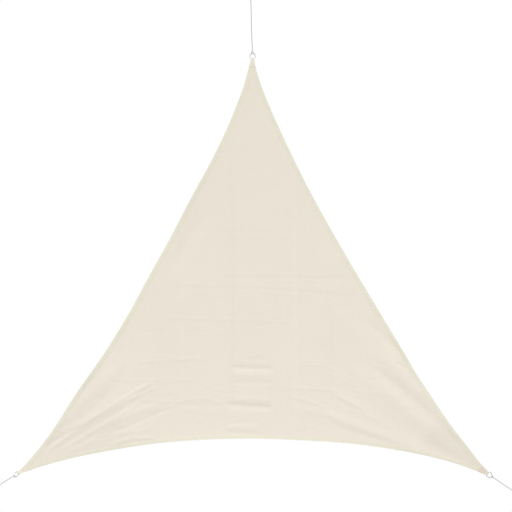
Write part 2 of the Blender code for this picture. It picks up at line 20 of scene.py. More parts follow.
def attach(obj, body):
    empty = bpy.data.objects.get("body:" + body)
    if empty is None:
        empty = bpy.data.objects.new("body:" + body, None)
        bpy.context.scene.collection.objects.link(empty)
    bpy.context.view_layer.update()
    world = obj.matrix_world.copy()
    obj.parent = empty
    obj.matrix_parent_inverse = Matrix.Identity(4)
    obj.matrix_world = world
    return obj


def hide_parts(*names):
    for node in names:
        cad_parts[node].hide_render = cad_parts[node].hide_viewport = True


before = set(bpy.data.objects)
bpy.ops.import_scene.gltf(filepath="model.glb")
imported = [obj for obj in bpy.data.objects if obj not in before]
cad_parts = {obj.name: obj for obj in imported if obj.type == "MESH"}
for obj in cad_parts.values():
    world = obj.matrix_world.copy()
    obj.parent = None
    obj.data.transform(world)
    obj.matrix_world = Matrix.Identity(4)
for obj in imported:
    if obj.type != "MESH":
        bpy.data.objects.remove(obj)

LOG = logging.getLogger("shade_sail")
BODY = "root"
Colour = tuple[float, float, float]


class Side(Enum):
    """A face of the sail, by the direction in which it looks along Y."""

    FRONT = -1
    BACK = 1


# ---------------------------------------------------------------- the sail's own sizes
@dataclass(frozen=True)
class Corner:
    """Where a corner's ring sits, which way its cord pulls, and how its pieces are cut and tied.

    A pair of widths is measured from the pull line: the side at negative v first.
    """

    name: str
    ring: tuple[float, float]
    pull_deg: float
    turn_deg: float
    tip_back: float
    tip: tuple[float, float]
    neck: tuple[float, float]
    loop: float
    hitch_at: float
    hitch_turns: tuple[float, float]
    cord_shown: float
    wander: tuple[float, ...]
    # how much darker the tab's colour is painted, as painted shade where the corner lies in shade
    tab_painted_shade: float = 0.0
    # the plait colour of the hitch's rope, painted paler than the taut run as painted light against the
    # shade the knot casts on itself
    hitch_painted_light: float = 0.72

    def axes(self) -> tuple[np.ndarray, np.ndarray]:
        """The outward direction and the direction across it, both in (x, z)."""
        angle = math.radians(self.pull_deg)
        u = np.array([math.cos(angle), math.sin(angle)])
        return u, np.array([-u[1], u[0]])

    def placed(self, points: list, turn_deg: float = 0.0) -> np.ndarray:
        """World points of (u, v, y) points, turned about the pull line.

        Args:
            points: the local points, one (u, v, y) each.
            turn_deg: how far they are turned about the pull line.

        Returns:
            The world points, one row each.
        """
        u, v = self.axes()
        turn = math.radians(turn_deg)
        along, across, deep = np.asarray(points, float).T
        side = across * math.cos(turn) - deep * math.sin(turn)
        flat = np.array(self.ring) + along[:, None] * u + side[:, None] * v
        depth = across * math.sin(turn) + deep * math.cos(turn)
        return np.stack([flat[:, 0], depth, flat[:, 1]], axis=1)

    def matrix(self, turn_deg: float = 0.0) -> Matrix:
        """The matrix that takes local X, Y and Z to u, v and the front, at the ring's middle."""
        middle, u, v, front = self.placed([(0, 0, 0), (1, 0, 0), (0, 1, 0), (0, 0, -1)], turn_deg)
        columns = [Vector(axis - middle) for axis in (u, v, front)]
        turned = Matrix(columns).transposed().to_4x4()
        return Matrix.Translation(Vector(middle)) @ turned


@dataclass(frozen=True)
class Edge:
    """One hem, from one corner's cut tip to the next, and its inward curve in mm."""

    start: str
    end: str
    hem: float
    insets: tuple[float, ...]


@dataclass(frozen=True)
class Fold:
    """A soft ridge (height above 0, towards the front) or trough of the cloth."""

    path: tuple[tuple[float, float], ...]
    width: float
    height: float


@dataclass(frozen=True)
class Roll:
    """A stretch of hem that turns towards the front (rise above 0) or the back."""

    edge: int
    at: float
    length: float
    rise: float


@dataclass(frozen=True)
class Twist:
    """A stretch of hem whose band is twisted: how far its rim and its middle stand forward."""

    edge: int
    at: float
    length: float
    rim: float
    middle: float


# the cords and the view that cuts them off
CORD = 0.006
KNOT_LENGTH = 0.014
KNOT_WIDTH = 0.0146
# how much darker each hitch's valleys are painted than its plaits, as painted shade
HITCH_CONTRAST = 0.22
LOOP_LENGTH = 0.075
LOOP_WIDTH = 0.034
END_KNOT_PAST_VIEW = 0.027
TOP_CORD_SHOWN = 0.4215
TOP_PULL_DEG = 91.9
TOP_REACH = TOP_CORD_SHOWN + END_KNOT_PAST_VIEW + KNOT_LENGTH + LOOP_LENGTH - CORD

# the cloth and its relief
# steps of painted shade that take the cloth's colour to its darkest
PAINTED_SHADE_STEPS = 20.0
PANEL_THICKNESS = 0.0014
HEM_THICKNESS = 0.0030
HEM_STEP = 0.002
HEM_SEAM_FROM = 0.022
HEM_SEAM_STEPS = 1500
BELLY = 0.028
BELLY_SPREAD = 0.8
FOLD_REACH = 3
FOLD_FADE = 0.3
PUCKER_FADE = 0.18
CREASE_FADE = 0.12
TAUT_RADIUS = 0.11
SLACK_RADIUS = 0.34
ROLL_WIDTH = 0.075

# the rings and the webbing
GAP = 0.00035
WEBBING = 0.0012
RING_WIRE = 0.005
RING_WIDTH = 0.045
RING_DEPTH = 0.043
RING_HEEL = 0.008
RING_SIDE = (RING_WIDTH - RING_WIRE) / 2
RING_BAR = (RING_DEPTH - RING_WIRE) / 2
RING_BOW = RING_BAR - RING_SIDE

CORNERS = (
    Corner(
        "top",
        (
            -TOP_REACH * math.cos(math.radians(TOP_PULL_DEG)),
            -TOP_REACH * math.sin(math.radians(TOP_PULL_DEG)),
        ),
        TOP_PULL_DEG,
        turn_deg=0.0,
        tip_back=0.0484,
        tip=(0.0140, 0.0195),
        neck=(0.0148, 0.0155),
        loop=0.0080,
        hitch_at=0.0340,
        hitch_turns=(-42, 37),
        cord_shown=TOP_CORD_SHOWN,
        wander=(0.0, 0.0006, 0.0009, 0.0004, -0.0003, -0.0006, 0.0),
    ),
    Corner(
        "left",
        (-1.7653, -3.6877),
        212.0,
        turn_deg=-46.0,
        tip_back=0.0519,
        tip=(0.0140, 0.0145),
        neck=(0.0140, 0.0140),
        loop=0.0105,
        hitch_at=0.0290,
        hitch_turns=(-24, 26),
        cord_shown=0.143,
        wander=(0.0, -0.0005, -0.0008, -0.0004, 0.0),
        # the left hitch is painted paler still, as painted light
        hitch_painted_light=0.90,
    ),
    Corner(
        "right",
        (1.8050, -3.6921),
        -34.1,
        turn_deg=0.0,
        tip_back=0.0526,
        tip=(0.0205, 0.0220),
        neck=(0.0175, 0.0170),
        loop=0.0115,
        hitch_at=0.0310,
        hitch_turns=(-43, 34),
        cord_shown=0.204,
        wander=(0.0, 0.0004, 0.0007, 0.0005, 0.0),
        # the right tab is painted darker, as painted shade
        tab_painted_shade=0.85,
    ),
)

STATIONS = (0.02, 0.05, 0.1, 0.2, 0.25, 0.3, 0.4, 0.5, 0.6, 0.7, 0.8, 0.9, 0.95, 0.98)
EDGES = (
    Edge("top", "left", 0.030, (18, 44, 72, 105, 111, 112, 123, 126, 131, 116, 83, 61, 37, 17)),
    Edge("left", "right", 0.024, (23, 57, 103, 173, 202, 224, 250, 258, 247, 226, 182, 114, 65, 28)),
    Edge("right", "top", 0.030, (16, 30, 57, 88, 99, 102, 110, 118, 121, 117, 98, 67, 43, 21)),
)
LEFT_HEM, BOTTOM_HEM, RIGHT_HEM = range(3)

# short puckers across the lower middle, from the upper one down
PUCKERS = (
    Fold(((-0.07, -2.821), (0.15, -2.825)), 0.018, -0.0020),
    Fold(((-0.17, -2.883), (0.20, -2.896)), 0.021, -0.0058),
    Fold(((-0.14, -2.934), (0.18, -2.941)), 0.026, 0.0035),
    Fold(((-0.18, -3.118), (0.18, -3.133)), 0.026, 0.0042),
    Fold(((-0.20, -3.167), (0.19, -3.190)), 0.021, -0.0072),
    Fold(((-0.20, -3.336), (0.09, -3.341)), 0.026, 0.0032),
)

FOLDS = (
    # folds that run up out of the left corner
    Fold(((-1.40, -3.235), (-1.13, -3.012), (-0.87, -2.764)), 0.050, 0.0068),
    Fold(((-1.57, -3.452), (-1.03, -3.178), (-0.72, -2.990)), 0.027, 0.0052),
    Fold(((-1.25, -3.390), (-0.92, -3.243), (-0.56, -3.122)), 0.025, 0.0040),
    Fold(((-1.44, -3.556), (-1.05, -3.375)), 0.022, 0.0034),
    # folds that run up out of the right corner
    Fold(((1.71, -3.565), (1.43, -3.216), (1.19, -2.982), (0.88, -2.673)), 0.040, 0.0062),
    Fold(((1.52, -3.392), (1.22, -3.118), (0.84, -2.809)), 0.032, -0.0062),
    Fold(((1.43, -3.405), (1.12, -3.141), (0.92, -2.952)), 0.034, 0.0056),
    Fold(((1.17, -2.809), (0.84, -2.493)), 0.030, -0.0044),
    Fold(((1.13, -3.435), (0.90, -3.360), (0.68, -3.279), (0.56, -3.228), (0.30, -3.185)), 0.030, 0.0050),
    Fold(((0.85, -3.186), (0.60, -3.050)), 0.024, 0.0022),
    # slack hollows under the side hems
    Fold(((-0.30, -1.62), (-0.62, -2.22)), 0.070, -0.0052),
    Fold(((0.36, -1.52), (0.70, -2.10)), 0.070, -0.0050),
    # the main packing creases, straight across
    Fold(((-0.77, -2.251), (0.10, -2.266), (0.86, -2.329)), 0.017, 0.0008),
    Fold(((-0.65, -2.530), (0.45, -2.567)), 0.018, -0.0008),
    Fold(((-0.85, -2.830), (-0.27, -2.822)), 0.016, 0.0010),
    Fold(((0.09, -3.035), (1.13, -3.111)), 0.018, -0.0010),
)

# fine creases and puckers that are too small for the solid
CREASES = (
    # packing creases straight across, from the top down
    Fold(((-0.05, -0.796), (0.09, -0.797)), 0.012, -0.0009),
    Fold(((-0.46, -1.663), (-0.30, -1.664)), 0.011, -0.0007),
    Fold(((-0.54, -1.850), (0.00, -1.853), (0.49, -1.852)), 0.011, -0.0008),
    Fold(((-0.30, -2.205), (0.20, -2.209), (0.76, -2.207)), 0.012, -0.0009),
    Fold(((-0.77, -2.276), (0.10, -2.291), (0.86, -2.354)), 0.011, -0.0008),
    Fold(((-0.65, -2.508), (0.45, -2.545)), 0.011, 0.0007),
    Fold(((-0.91, -2.612), (-0.60, -2.614)), 0.012, -0.0009),
    Fold(((-0.88, -2.852), (-0.25, -2.844)), 0.011, -0.0004),
    Fold(((0.33, -2.876), (0.66, -2.879)), 0.012, -0.0010),
    Fold(((0.09, -3.013), (1.13, -3.089)), 0.012, 0.0008),
    Fold(((-0.83, -3.152), (-0.18, -3.160)), 0.013, -0.0010),
    Fold(((-0.36, -3.392), (0.40, -3.400)), 0.013, -0.0008),
    # packing creases straight down
    Fold(((-0.136, -1.20), (-0.137, -2.10), (-0.140, -3.12)), 0.012, -0.0006),
    Fold(((0.208, -1.90), (0.210, -2.70), (0.212, -3.35)), 0.012, 0.0004),
    Fold(((0.330, -1.69), (0.332, -2.50), (0.336, -3.38)), 0.013, 0.0006),
    Fold(((0.602, -2.14), (0.603, -2.60), (0.606, -3.12)), 0.012, -0.0004),
    Fold(((-0.920, -2.60), (-0.924, -3.30)), 0.012, 0.0004),
    Fold(((-0.694, -2.25), (-0.698, -3.20)), 0.012, -0.0004),
    Fold(((-0.521, -1.95), (-0.524, -3.25)), 0.012, 0.0004),
    # small marks near the middle
    Fold(((0.05, -2.566), (0.13, -2.572)), 0.010, -0.0012),
    Fold(((0.15, -2.520), (0.24, -2.526)), 0.010, -0.0010),
    Fold(((-0.17, -2.490), (-0.09, -2.496)), 0.010, -0.0010),
    Fold(((-0.15, -2.996), (0.18, -3.001)), 0.016, -0.0018),
    Fold(((-0.20, -3.298), (0.07, -3.306)), 0.016, -0.0022),
    Fold(((-0.20, -3.372), (0.05, -3.376)), 0.016, -0.0022),
    # soft folds that fan out of the right corner
    Fold(((1.64, -3.53), (1.36, -3.28), (0.79, -2.80)), 0.030, -0.0014),
    Fold(((1.63, -3.57), (1.31, -3.35), (0.73, -2.86)), 0.030, 0.0024),
    Fold(((1.60, -3.60), (1.27, -3.42), (0.90, -3.16), (0.64, -3.00)), 0.045, -0.0030),
    Fold(((1.38, -3.55), (1.03, -3.40), (0.54, -3.22)), 0.034, 0.0026),
    Fold(((1.16, -3.49), (0.80, -3.38), (0.28, -3.26)), 0.025, -0.0016),
    Fold(((1.22, -3.00), (0.89, -2.69), (0.61, -2.44)), 0.070, 0.0030),
    # folds and sharp creases that fan out of the left corner
    Fold(((-1.59, -3.52), (-1.31, -3.30), (-1.00, -3.02)), 0.024, -0.0026),
    Fold(((-1.56, -3.47), (-1.36, -3.24), (-1.20, -3.09)), 0.026, 0.0019),
    Fold(((-1.55, -3.50), (-1.42, -3.40), (-1.26, -3.32)), 0.011, -0.0024),
    Fold(((-1.54, -3.52), (-1.21, -3.28), (-0.94, -3.10), (-0.70, -2.98)), 0.012, 0.0032),
    Fold(((-0.86, -3.06), (-0.73, -2.99)), 0.020, 0.0024),
    Fold(((-0.92, -3.13), (-0.79, -3.07), (-0.69, -3.03)), 0.012, 0.0030),
    Fold(((-1.51, -3.53), (-1.06, -3.25), (-0.86, -3.13)), 0.015, -0.0016),
    Fold(((-1.45, -3.52), (-1.15, -3.34), (-0.80, -3.13)), 0.012, 0.0030),
    Fold(((-1.21, -3.46), (-0.80, -3.27), (-0.64, -3.20)), 0.015, -0.0016),
    Fold(((-1.04, -3.38), (-0.75, -3.25), (-0.52, -3.17)), 0.012, -0.0024),
    Fold(((-1.11, -3.40), (-0.93, -3.36)), 0.011, 0.0022),
    Fold(((-1.15, -3.44), (-0.90, -3.37), (-0.71, -3.34)), 0.011, 0.0024),
    Fold(((-1.07, -3.48), (-0.91, -3.42), (-0.70, -3.42)), 0.011, 0.0028),
    # thin creases between the middle and the left corner
    Fold(((-0.85, -2.84), (-0.62, -2.84)), 0.011, 0.0014),
    Fold(((-0.73, -2.80), (-0.56, -2.80)), 0.011, 0.0012),
    Fold(((-0.56, -2.82), (-0.38, -2.81)), 0.011, 0.0012),
    Fold(((-1.08, -2.98), (-0.38, -2.98)), 0.011, 0.0009),
    Fold(((-0.76, -3.08), (-0.55, -3.07)), 0.011, 0.0012),
    Fold(((-0.47, -3.10), (-0.30, -3.02)), 0.011, 0.0012),
    Fold(((-0.84, -3.13), (-0.58, -3.14)), 0.011, 0.0020),
    Fold(((-0.59, -3.16), (-0.38, -3.11), (-0.20, -3.16)), 0.011, 0.0024),
    Fold(((-0.54, -3.17), (-0.20, -3.18)), 0.011, -0.0014),
    Fold(((-0.48, -3.20), (-0.39, -3.20)), 0.011, 0.0012),
    Fold(((-0.38, -3.22), (-0.25, -3.22)), 0.011, 0.0020),
    # thin creases between the middle and the right corner
    Fold(((0.21, -3.04), (0.60, -3.06), (0.90, -3.11)), 0.011, 0.0020),
    Fold(((0.29, -3.10), (0.46, -3.14), (0.61, -3.21)), 0.011, 0.0027),
    Fold(((0.61, -3.07), (0.86, -3.20)), 0.011, 0.0027),
    Fold(((0.85, -3.23), (0.98, -3.28)), 0.011, 0.0018),
    Fold(((0.34, -2.87), (0.54, -2.87), (0.67, -2.91)), 0.011, 0.0018),
    Fold(((1.11, -2.85), (1.18, -2.89)), 0.011, -0.0021),
)

ROLLS = (
    Roll(LEFT_HEM, 0.13, 0.34, -0.004),
    Roll(LEFT_HEM, 0.30, 0.44, 0.006),
    Roll(LEFT_HEM, 0.41, 0.26, -0.004),
    Roll(LEFT_HEM, 0.63, 0.22, 0.006),
    Roll(LEFT_HEM, 0.77, 0.36, 0.011),
    Roll(BOTTOM_HEM, 0.20, 0.40, -0.004),
    Roll(BOTTOM_HEM, 0.47, 1.20, 0.006),
    Roll(BOTTOM_HEM, 0.80, 0.45, -0.005),
    Roll(RIGHT_HEM, 0.10, 0.20, 0.005),
    Roll(RIGHT_HEM, 0.31, 0.32, 0.010),
    Roll(RIGHT_HEM, 0.42, 0.18, 0.006),
    Roll(RIGHT_HEM, 0.68, 0.64, -0.006),
)

TWISTS = (
    Twist(LEFT_HEM, 0.11, 0.40, 0.0000, -0.0012),
    Twist(LEFT_HEM, 0.39, 0.28, 0.0006, -0.0012),
    Twist(LEFT_HEM, 0.60, 0.16, 0.0004, 0.0012),
    Twist(LEFT_HEM, 0.755, 0.34, 0.0020, 0.0022),
    Twist(BOTTOM_HEM, 0.25, 0.34, 0.0000, 0.0014),
    Twist(BOTTOM_HEM, 0.75, 0.40, 0.0006, -0.0012),
    Twist(BOTTOM_HEM, 0.91, 0.56, -0.0020, 0.0008),
    Twist(RIGHT_HEM, 0.03, 0.36, 0.0020, 0.0006),
    Twist(RIGHT_HEM, 0.325, 0.34, 0.0024, 0.0020),
    Twist(RIGHT_HEM, 0.58, 0.18, -0.0006, -0.0014),
    Twist(RIGHT_HEM, 0.67, 0.50, 0.0010, -0.0012),
    Twist(RIGHT_HEM, 0.89, 0.40, 0.0000, -0.0012),
)

# painted shade and painted light of the slack and the folds: broad soft patches of the panel and the
# bands of its old folds, each with how many steps darker (below 0, lighter) its colour is painted in
# place of a height
PAINTED_SHADE_PATCHES = (
    Fold(((1.98, -3.80), (1.66, -3.56), (1.30, -3.36)), 0.090, 8.5),
    Fold(((1.48, -3.345), (1.51, -3.372), (1.545, -3.415)), 0.008, 7.0),
    Fold(((-1.90, -3.74), (-1.50, -3.52), (-0.90, -3.25)), 0.150, 3.8),
    Fold(((-0.90, -2.75), (0.90, -2.75)), 0.500, 1.2),
    Fold(((0.80, -3.10), (1.40, -3.30)), 0.200, 1.0),
    Fold(((-1.03, -3.465), (-0.92, -3.442), (-0.83, -3.430), (-0.70, -3.420)), 0.010, 4.5),
    Fold(((-1.60, -3.40), (0.00, -3.30), (1.60, -3.40)), 0.300, 1.2),
    Fold(((-1.52, -3.42), (-1.36, -3.25)), 0.022, 4.0),
    Fold(((-0.137, -0.95), (-0.140, -3.25)), 0.020, 1.2),
    Fold(((0.330, -1.45), (0.336, -3.40)), 0.022, -1.3),
    Fold(((0.250, -1.90), (0.255, -3.35)), 0.020, -0.8),
    Fold(((0.602, -2.05), (0.606, -3.20)), 0.022, 0.9),
    Fold(((-0.920, -2.60), (-0.924, -3.30)), 0.020, -0.8),
    Fold(((-0.521, -1.95), (-0.524, -3.25)), 0.022, -0.8),
)


# ---------------------------------------------------------------- small geometry helpers
def smooth_curve(knots: np.ndarray, points: np.ndarray, at: np.ndarray) -> np.ndarray:
    """Points of a smooth curve through the given points.

    Args:
        knots: rising values, one for each point.
        points: the points that the curve passes through.
        at: the knot values that are wanted.

    Returns:
        The curve's points at those values, one row each.
    """
    knots, points, at = (np.asarray(x, float) for x in (knots, points, at))
    points = points.reshape(len(knots), -1)
    slopes = np.gradient(points, knots, axis=0)
    i = np.clip(np.searchsorted(knots, at, side="right") - 1, 0, len(knots) - 2)
    span = (knots[i + 1] - knots[i])[:, None]
    s = (at - knots[i])[:, None] / span
    return (
        (2 * s**3 - 3 * s**2 + 1) * points[i]
        + (s**3 - 2 * s**2 + s) * span * slopes[i]
        + (3 * s**2 - 2 * s**3) * points[i + 1]
        + (s**3 - s**2) * span * slopes[i + 1]
    )


def spaced(points: list) -> np.ndarray:
    """How far along a line each of its points lies."""
    steps = np.linalg.norm(np.diff(np.asarray(points, float), axis=0), axis=1)
    return np.concatenate([[0], np.cumsum(steps)])


def smooth_route(route: list, count: int) -> np.ndarray:
    """A number of points along a smooth curve through a route's points."""
    knots = spaced(route)
    return smooth_curve(knots, route, np.linspace(0, knots[-1], count))


def even_points(line: np.ndarray, step: float, least: int) -> tuple[np.ndarray, np.ndarray]:
    """Points evenly spaced along a line.

    Args:
        line: the line's points, one row each.
        step: about how far apart the new points are.
        least: the fewest steps that the line is cut into.

    Returns:
        How far along the line each new point lies, and the new points.
    """
    done = spaced(line)
    at = np.linspace(0, done[-1], max(least, round(done[-1] / step)) + 1)
    return at, np.stack([np.interp(at, done, values) for values in line.T], axis=1)


def smooth_step(x: np.ndarray) -> np.ndarray:
    """0 below 0, 1 above 1, and a soft ramp between."""
    x = np.clip(x, 0, 1)
    return x * x * (3 - 2 * x)


def nearest_on_line(points: np.ndarray, line: np.ndarray) -> tuple[np.ndarray, np.ndarray]:
    """How far points lie from a line of points, and beside which part of it.

    Args:
        points: the (x, z) points.
        line: the (x, z) points of the line, in order.

    Returns:
        Each point's distance from the line, and the share of the way along it.
    """
    best = np.full(len(points), np.inf)
    share = np.zeros(len(points))
    done = spaced(line)
    for k, step in enumerate(np.linalg.norm(np.diff(line, axis=0), axis=1)):
        run = (line[k + 1] - line[k]) / step
        along = np.clip((points - line[k]) @ run, 0, step)
        far = np.linalg.norm(points - line[k] - along[:, None] * run, axis=1)
        closer = far < best
        best[closer] = far[closer]
        share[closer] = (done[k] + along[closer]) / done[-1]
    return best, share


def deselect_all() -> None:
    """Leaves nothing selected and nothing active."""
    bpy.ops.object.select_all(action="DESELECT")
    bpy.context.view_layer.objects.active = None


def mesh_piece(name: str, points: np.ndarray, faces: list) -> bpy.types.Object:
    """A mesh object in the scene, its place in its mesh.

    Args:
        name: the piece's name.
        points: its points, one row each.
        faces: its faces, each a row of point numbers.

    Returns:
        The new object.
    """
    mesh = bpy.data.meshes.new(name)
    mesh.from_pydata([tuple(p) for p in points], [], [tuple(f) for f in faces])
    mesh.validate()
    piece = bpy.data.objects.new(name, mesh)
    bpy.context.scene.collection.objects.link(piece)
    return piece


def turn_faces_out(piece: bpy.types.Object) -> None:
    """Turns a closed piece's faces outwards."""
    bm = bmesh.new()
    bm.from_mesh(piece.data)
    bmesh.ops.recalc_face_normals(bm, faces=bm.faces)
    bm.to_mesh(piece.data)
    bm.free()


def shade_round(piece: bpy.types.Object, angle_deg: float) -> None:
    """Shades a piece smooth but for the edges that turn by more than an angle."""
    piece.data.shade_smooth()
    piece.data.set_sharp_from_angle(angle=math.radians(angle_deg))


def set_point_values(piece: bpy.types.Object, name: str, values: np.ndarray) -> None:
    """Keeps one number for each point of a mesh, for its material to read."""
    attribute = piece.data.attributes.new(name, "FLOAT", "POINT")
    attribute.data.foreach_set("value", np.asarray(values, np.float32))


def set_point_map(piece: bpy.types.Object, name: str, places: np.ndarray) -> None:
    """Keeps one (u, v) place for each point of a mesh as a UV map."""
    layer = piece.data.uv_layers.new(name=name)
    corners = np.zeros(len(piece.data.loops), np.int32)
    piece.data.loops.foreach_get("vertex_index", corners)
    layer.data.foreach_set("uv", np.asarray(places, np.float32)[corners].ravel())


def dress(piece: bpy.types.Object, material: bpy.types.Material, slot: str, *nodes: str) -> None:
    """Gives a finished piece its material and its body, and hides the nodes it stands for."""
    piece.data.materials.clear()
    piece.data.materials.append(material)
    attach(piece, BODY)
    if nodes:
        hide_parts(*nodes)
    LOG.info("%s: %d faces", piece.name, len(piece.data.polygons))


# ---------------------------------------------------------------- finishes
class Nodes:
    """Adds and links the nodes of one material or node group."""

    mix_inputs = (0, 6, 7)
    mix_output = 2

    def __init__(self, tree: bpy.types.NodeTree) -> None:
        """Keeps the tree that the nodes go into."""
        self.tree = tree

    def add(self, kind: str, **inputs: object) -> bpy.types.Node:
        """Adds a node.

        Args:
            kind: the node's type, without the leading ShaderNode.
            **inputs: values or sockets for inputs, by name with _ for a space, or node properties.

        Returns:
            The new node.
        """
        node = self.tree.nodes.new(f"ShaderNode{kind}")
        for name in [name for name in inputs if name in node.bl_rna.properties]:
            setattr(node, name, inputs.pop(name))
        self.wire(node, **inputs)
        return node

    def wire(self, node: bpy.types.Node, **inputs: object) -> None:
        """Links or sets a node's inputs, by name with _ for a space."""
        for name, value in inputs.items():
            self.feed(node.inputs[name.replace("_", " ")], value)

    def feed(self, socket: bpy.types.NodeSocket, value: object) -> None:
        """Links a socket to another's output, or sets its value."""
        if isinstance(value, bpy.types.NodeSocket):
            self.tree.links.new(value, socket)
        else:
            socket.default_value = value

    def maths(self, operation: str, *values: object) -> bpy.types.NodeSocket:
        """The result of a Math node with the given values or sockets."""
        node = self.tree.nodes.new("ShaderNodeMath")
        node.operation = operation
        for socket, value in zip(node.inputs, values):
            self.feed(socket, value)
        return node.outputs[0]

    def blend(self, share: object, first: object, second: object) -> bpy.types.NodeSocket:
        """The colour between two colours at a share from 0 to 1."""
        node = self.tree.nodes.new("ShaderNodeMix")
        node.data_type = "RGBA"
        node.clamp_factor = False
        for number, value in zip(self.mix_inputs, (share, first, second)):
            if isinstance(value, tuple):
                value = (*value, 1.0)
            self.feed(node.inputs[number], value)
        return node.outputs[self.mix_output]

    def noise(self, place: object, scale: object, detail: float, **more: object) -> bpy.types.NodeSocket:
        """Soft noise about 0.5."""
        return self.add("TexNoise", Vector=place, Scale=scale, Detail=detail, **more).outputs["Fac"]

    def ramp(self, value: object, low: object, high: object) -> bpy.types.NodeSocket:
        """A soft ramp, 0 where a value is at the first bound and 1 where it is at the second."""
        soft = {"interpolation_type": "SMOOTHSTEP", "From_Min": low, "From_Max": high}
        return self.add("MapRange", Value=value, **soft).outputs["Result"]

    def bump(self, height: object, depth: float, strength: float, **over: object) -> bpy.types.NodeSocket:
        """The surface direction that a height gives, over another direction if it has a Normal."""
        return self.add("Bump", Strength=strength, Distance=depth, Height=height, **over).outputs[0]

    def attribute(self, name: str) -> bpy.types.NodeSocket:
        """The number that a mesh keeps for each of its points under a name."""
        return self.add("Attribute", attribute_name=name).outputs["Fac"]

    def group(self, tree: bpy.types.NodeTree, **inputs: object) -> bpy.types.NodeSocket:
        """Places a node group, with its own values, and gives its output."""
        node = self.tree.nodes.new("ShaderNodeGroup")
        node.node_tree = tree
        self.wire(node, **inputs)
        return node.outputs[0]


def new_group(name: str, settings: dict[str, float], output: str) -> tuple:
    """An empty shader node group with a Vector input, number inputs and one number output.

    Args:
        name: the group's name.
        settings: the value that each number input has unless it is given another.
        output: the output's name.

    Returns:
        The group, its node helper, its inputs by name, and its output.
    """
    tree = bpy.data.node_groups.new(name, "ShaderNodeTree")
    tree.interface.new_socket("Vector", in_out="INPUT", socket_type="NodeSocketVector")
    for label, value in settings.items():
        socket = tree.interface.new_socket(label, in_out="INPUT", socket_type="NodeSocketFloat")
        socket.default_value = value
    tree.interface.new_socket(output, in_out="OUTPUT", socket_type="NodeSocketFloat")
    given, result = (tree.nodes.new(f"NodeGroup{end}") for end in ("Input", "Output"))
    return tree, Nodes(tree), given.outputs, result.inputs[output]


class Effects:
    """The node groups that several finishes share."""

    def __init__(self) -> None:
        """Builds each group once."""
        self.weave = self.make_weave()
        self.mottle = self.make_mottle()
        self.slubs = self.make_slubs()
        self.crinkles = self.make_crinkles()

    @staticmethod
    def make_weave() -> bpy.types.NodeTree:
        """Plain weave: warp and weft threads that pass over and under each other."""
        settings = {"Threads per metre": 700.0, "Unevenness": 0.4}
        tree, nodes, given, result = new_group("plain weave", settings, "Height")
        nudge = nodes.maths("MULTIPLY", nodes.noise(given["Vector"], 60.0, 2.0), given["Unevenness"])
        place = nodes.add("SeparateXYZ", Vector=given["Vector"]).outputs
        turn = nodes.maths("MULTIPLY", given["Threads per metre"], math.pi)
        waves = []
        for axis in ("X", "Z"):
            phase = nodes.maths("MULTIPLY", place[axis], turn)
            waves.append(nodes.maths("SINE", nodes.maths("ADD", phase, nudge)))
        nodes.feed(result, nodes.maths("MULTIPLY_ADD", nodes.maths("MULTIPLY", *waves), 0.5, 0.5))
        return tree

    @staticmethod
    def make_mottle() -> bpy.types.NodeTree:
        """Soft uneven patches, as of dust, dye lot or handling."""
        settings = {"Scale": 3.0, "Low": 0.35, "High": 0.65}
        tree, nodes, given, result = new_group("mottle", settings, "Mask")
        noise = nodes.noise(given["Vector"], given["Scale"], 4.0)
        nodes.feed(result, nodes.ramp(noise, given["Low"], given["High"]))
        return tree

    @staticmethod
    def make_slubs() -> bpy.types.NodeTree:
        """Uneven threads: short streaks along the warp and the weft, about 0 on average."""
        tree, nodes, given, result = new_group("slubs", {"Along": 45.0, "Across": 170.0}, "Tone")
        place = nodes.add("SeparateXYZ", Vector=given["Vector"]).outputs
        streaks = []
        for x_scale, z_scale in (("Along", "Across"), ("Across", "Along")):
            x = nodes.maths("MULTIPLY", place["X"], given[x_scale])
            z = nodes.maths("MULTIPLY", place["Z"], given[z_scale])
            where = nodes.add("CombineXYZ", X=x, Y=place["Y"], Z=z)
            streaks.append(nodes.maths("SUBTRACT", nodes.noise(where.outputs[0], 1.0, 1.0), 0.5))
        nodes.feed(result, nodes.maths("ADD", *streaks))
        return tree

    @staticmethod
    def make_crinkles() -> bpy.types.NodeTree:
        """A faint net of sharp creases, longer across than up, as in cloth that lay packed."""
        settings = {"Width": 0.35, "Height": 0.10, "None above": -1.9, "All below": -2.4}
        tree, nodes, given, result = new_group("crinkles", settings, "Height")
        place = given["Vector"]
        split = nodes.add("SeparateXYZ", Vector=place).outputs
        stray = nodes.maths("SUBTRACT", nodes.noise(place, 3.0, 3.0), 0.5)
        nudge = nodes.maths("MULTIPLY", stray, 1.6)
        x = nodes.maths("ADD", nodes.maths("DIVIDE", split["X"], given["Width"]), nudge)
        z = nodes.maths("ADD", nodes.maths("DIVIDE", split["Z"], given["Height"]), nudge)
        cells = nodes.add(
            "TexVoronoi",
            feature="DISTANCE_TO_EDGE",
            voronoi_dimensions="3D",
            Vector=nodes.add("CombineXYZ", X=x, Z=z).outputs[0],
            Scale=1.0,
        )
        groove = nodes.ramp(cells.outputs["Distance"], 0.0, 0.09)
        shown = nodes.ramp(nodes.noise(place, 1.3, 2.0), 0.38, 0.62)
        low = nodes.ramp(split["Z"], given["None above"], given["All below"])
        nodes.feed(result, nodes.maths("MULTIPLY", nodes.maths("MULTIPLY", groove, shown), low))
        return tree


def new_material(name: str, effects: Effects, patch_scale: float) -> tuple:
    """Starts a material.

    Args:
        name: the material's name.
        effects: the shared node groups.
        patch_scale: about how many of its uneven patches fit in a metre.

    Returns:
        The material, its node helper, its Principled shader, its place and its patches.
    """
    material = bpy.data.materials.new(name)
    material.use_nodes = True
    nodes = Nodes(material.node_tree)
    place = nodes.add("TexCoord").outputs["Object"]
    patches = nodes.group(effects.mottle, Vector=place, Scale=patch_scale)
    return material, nodes, material.node_tree.nodes["Principled BSDF"], place, patches


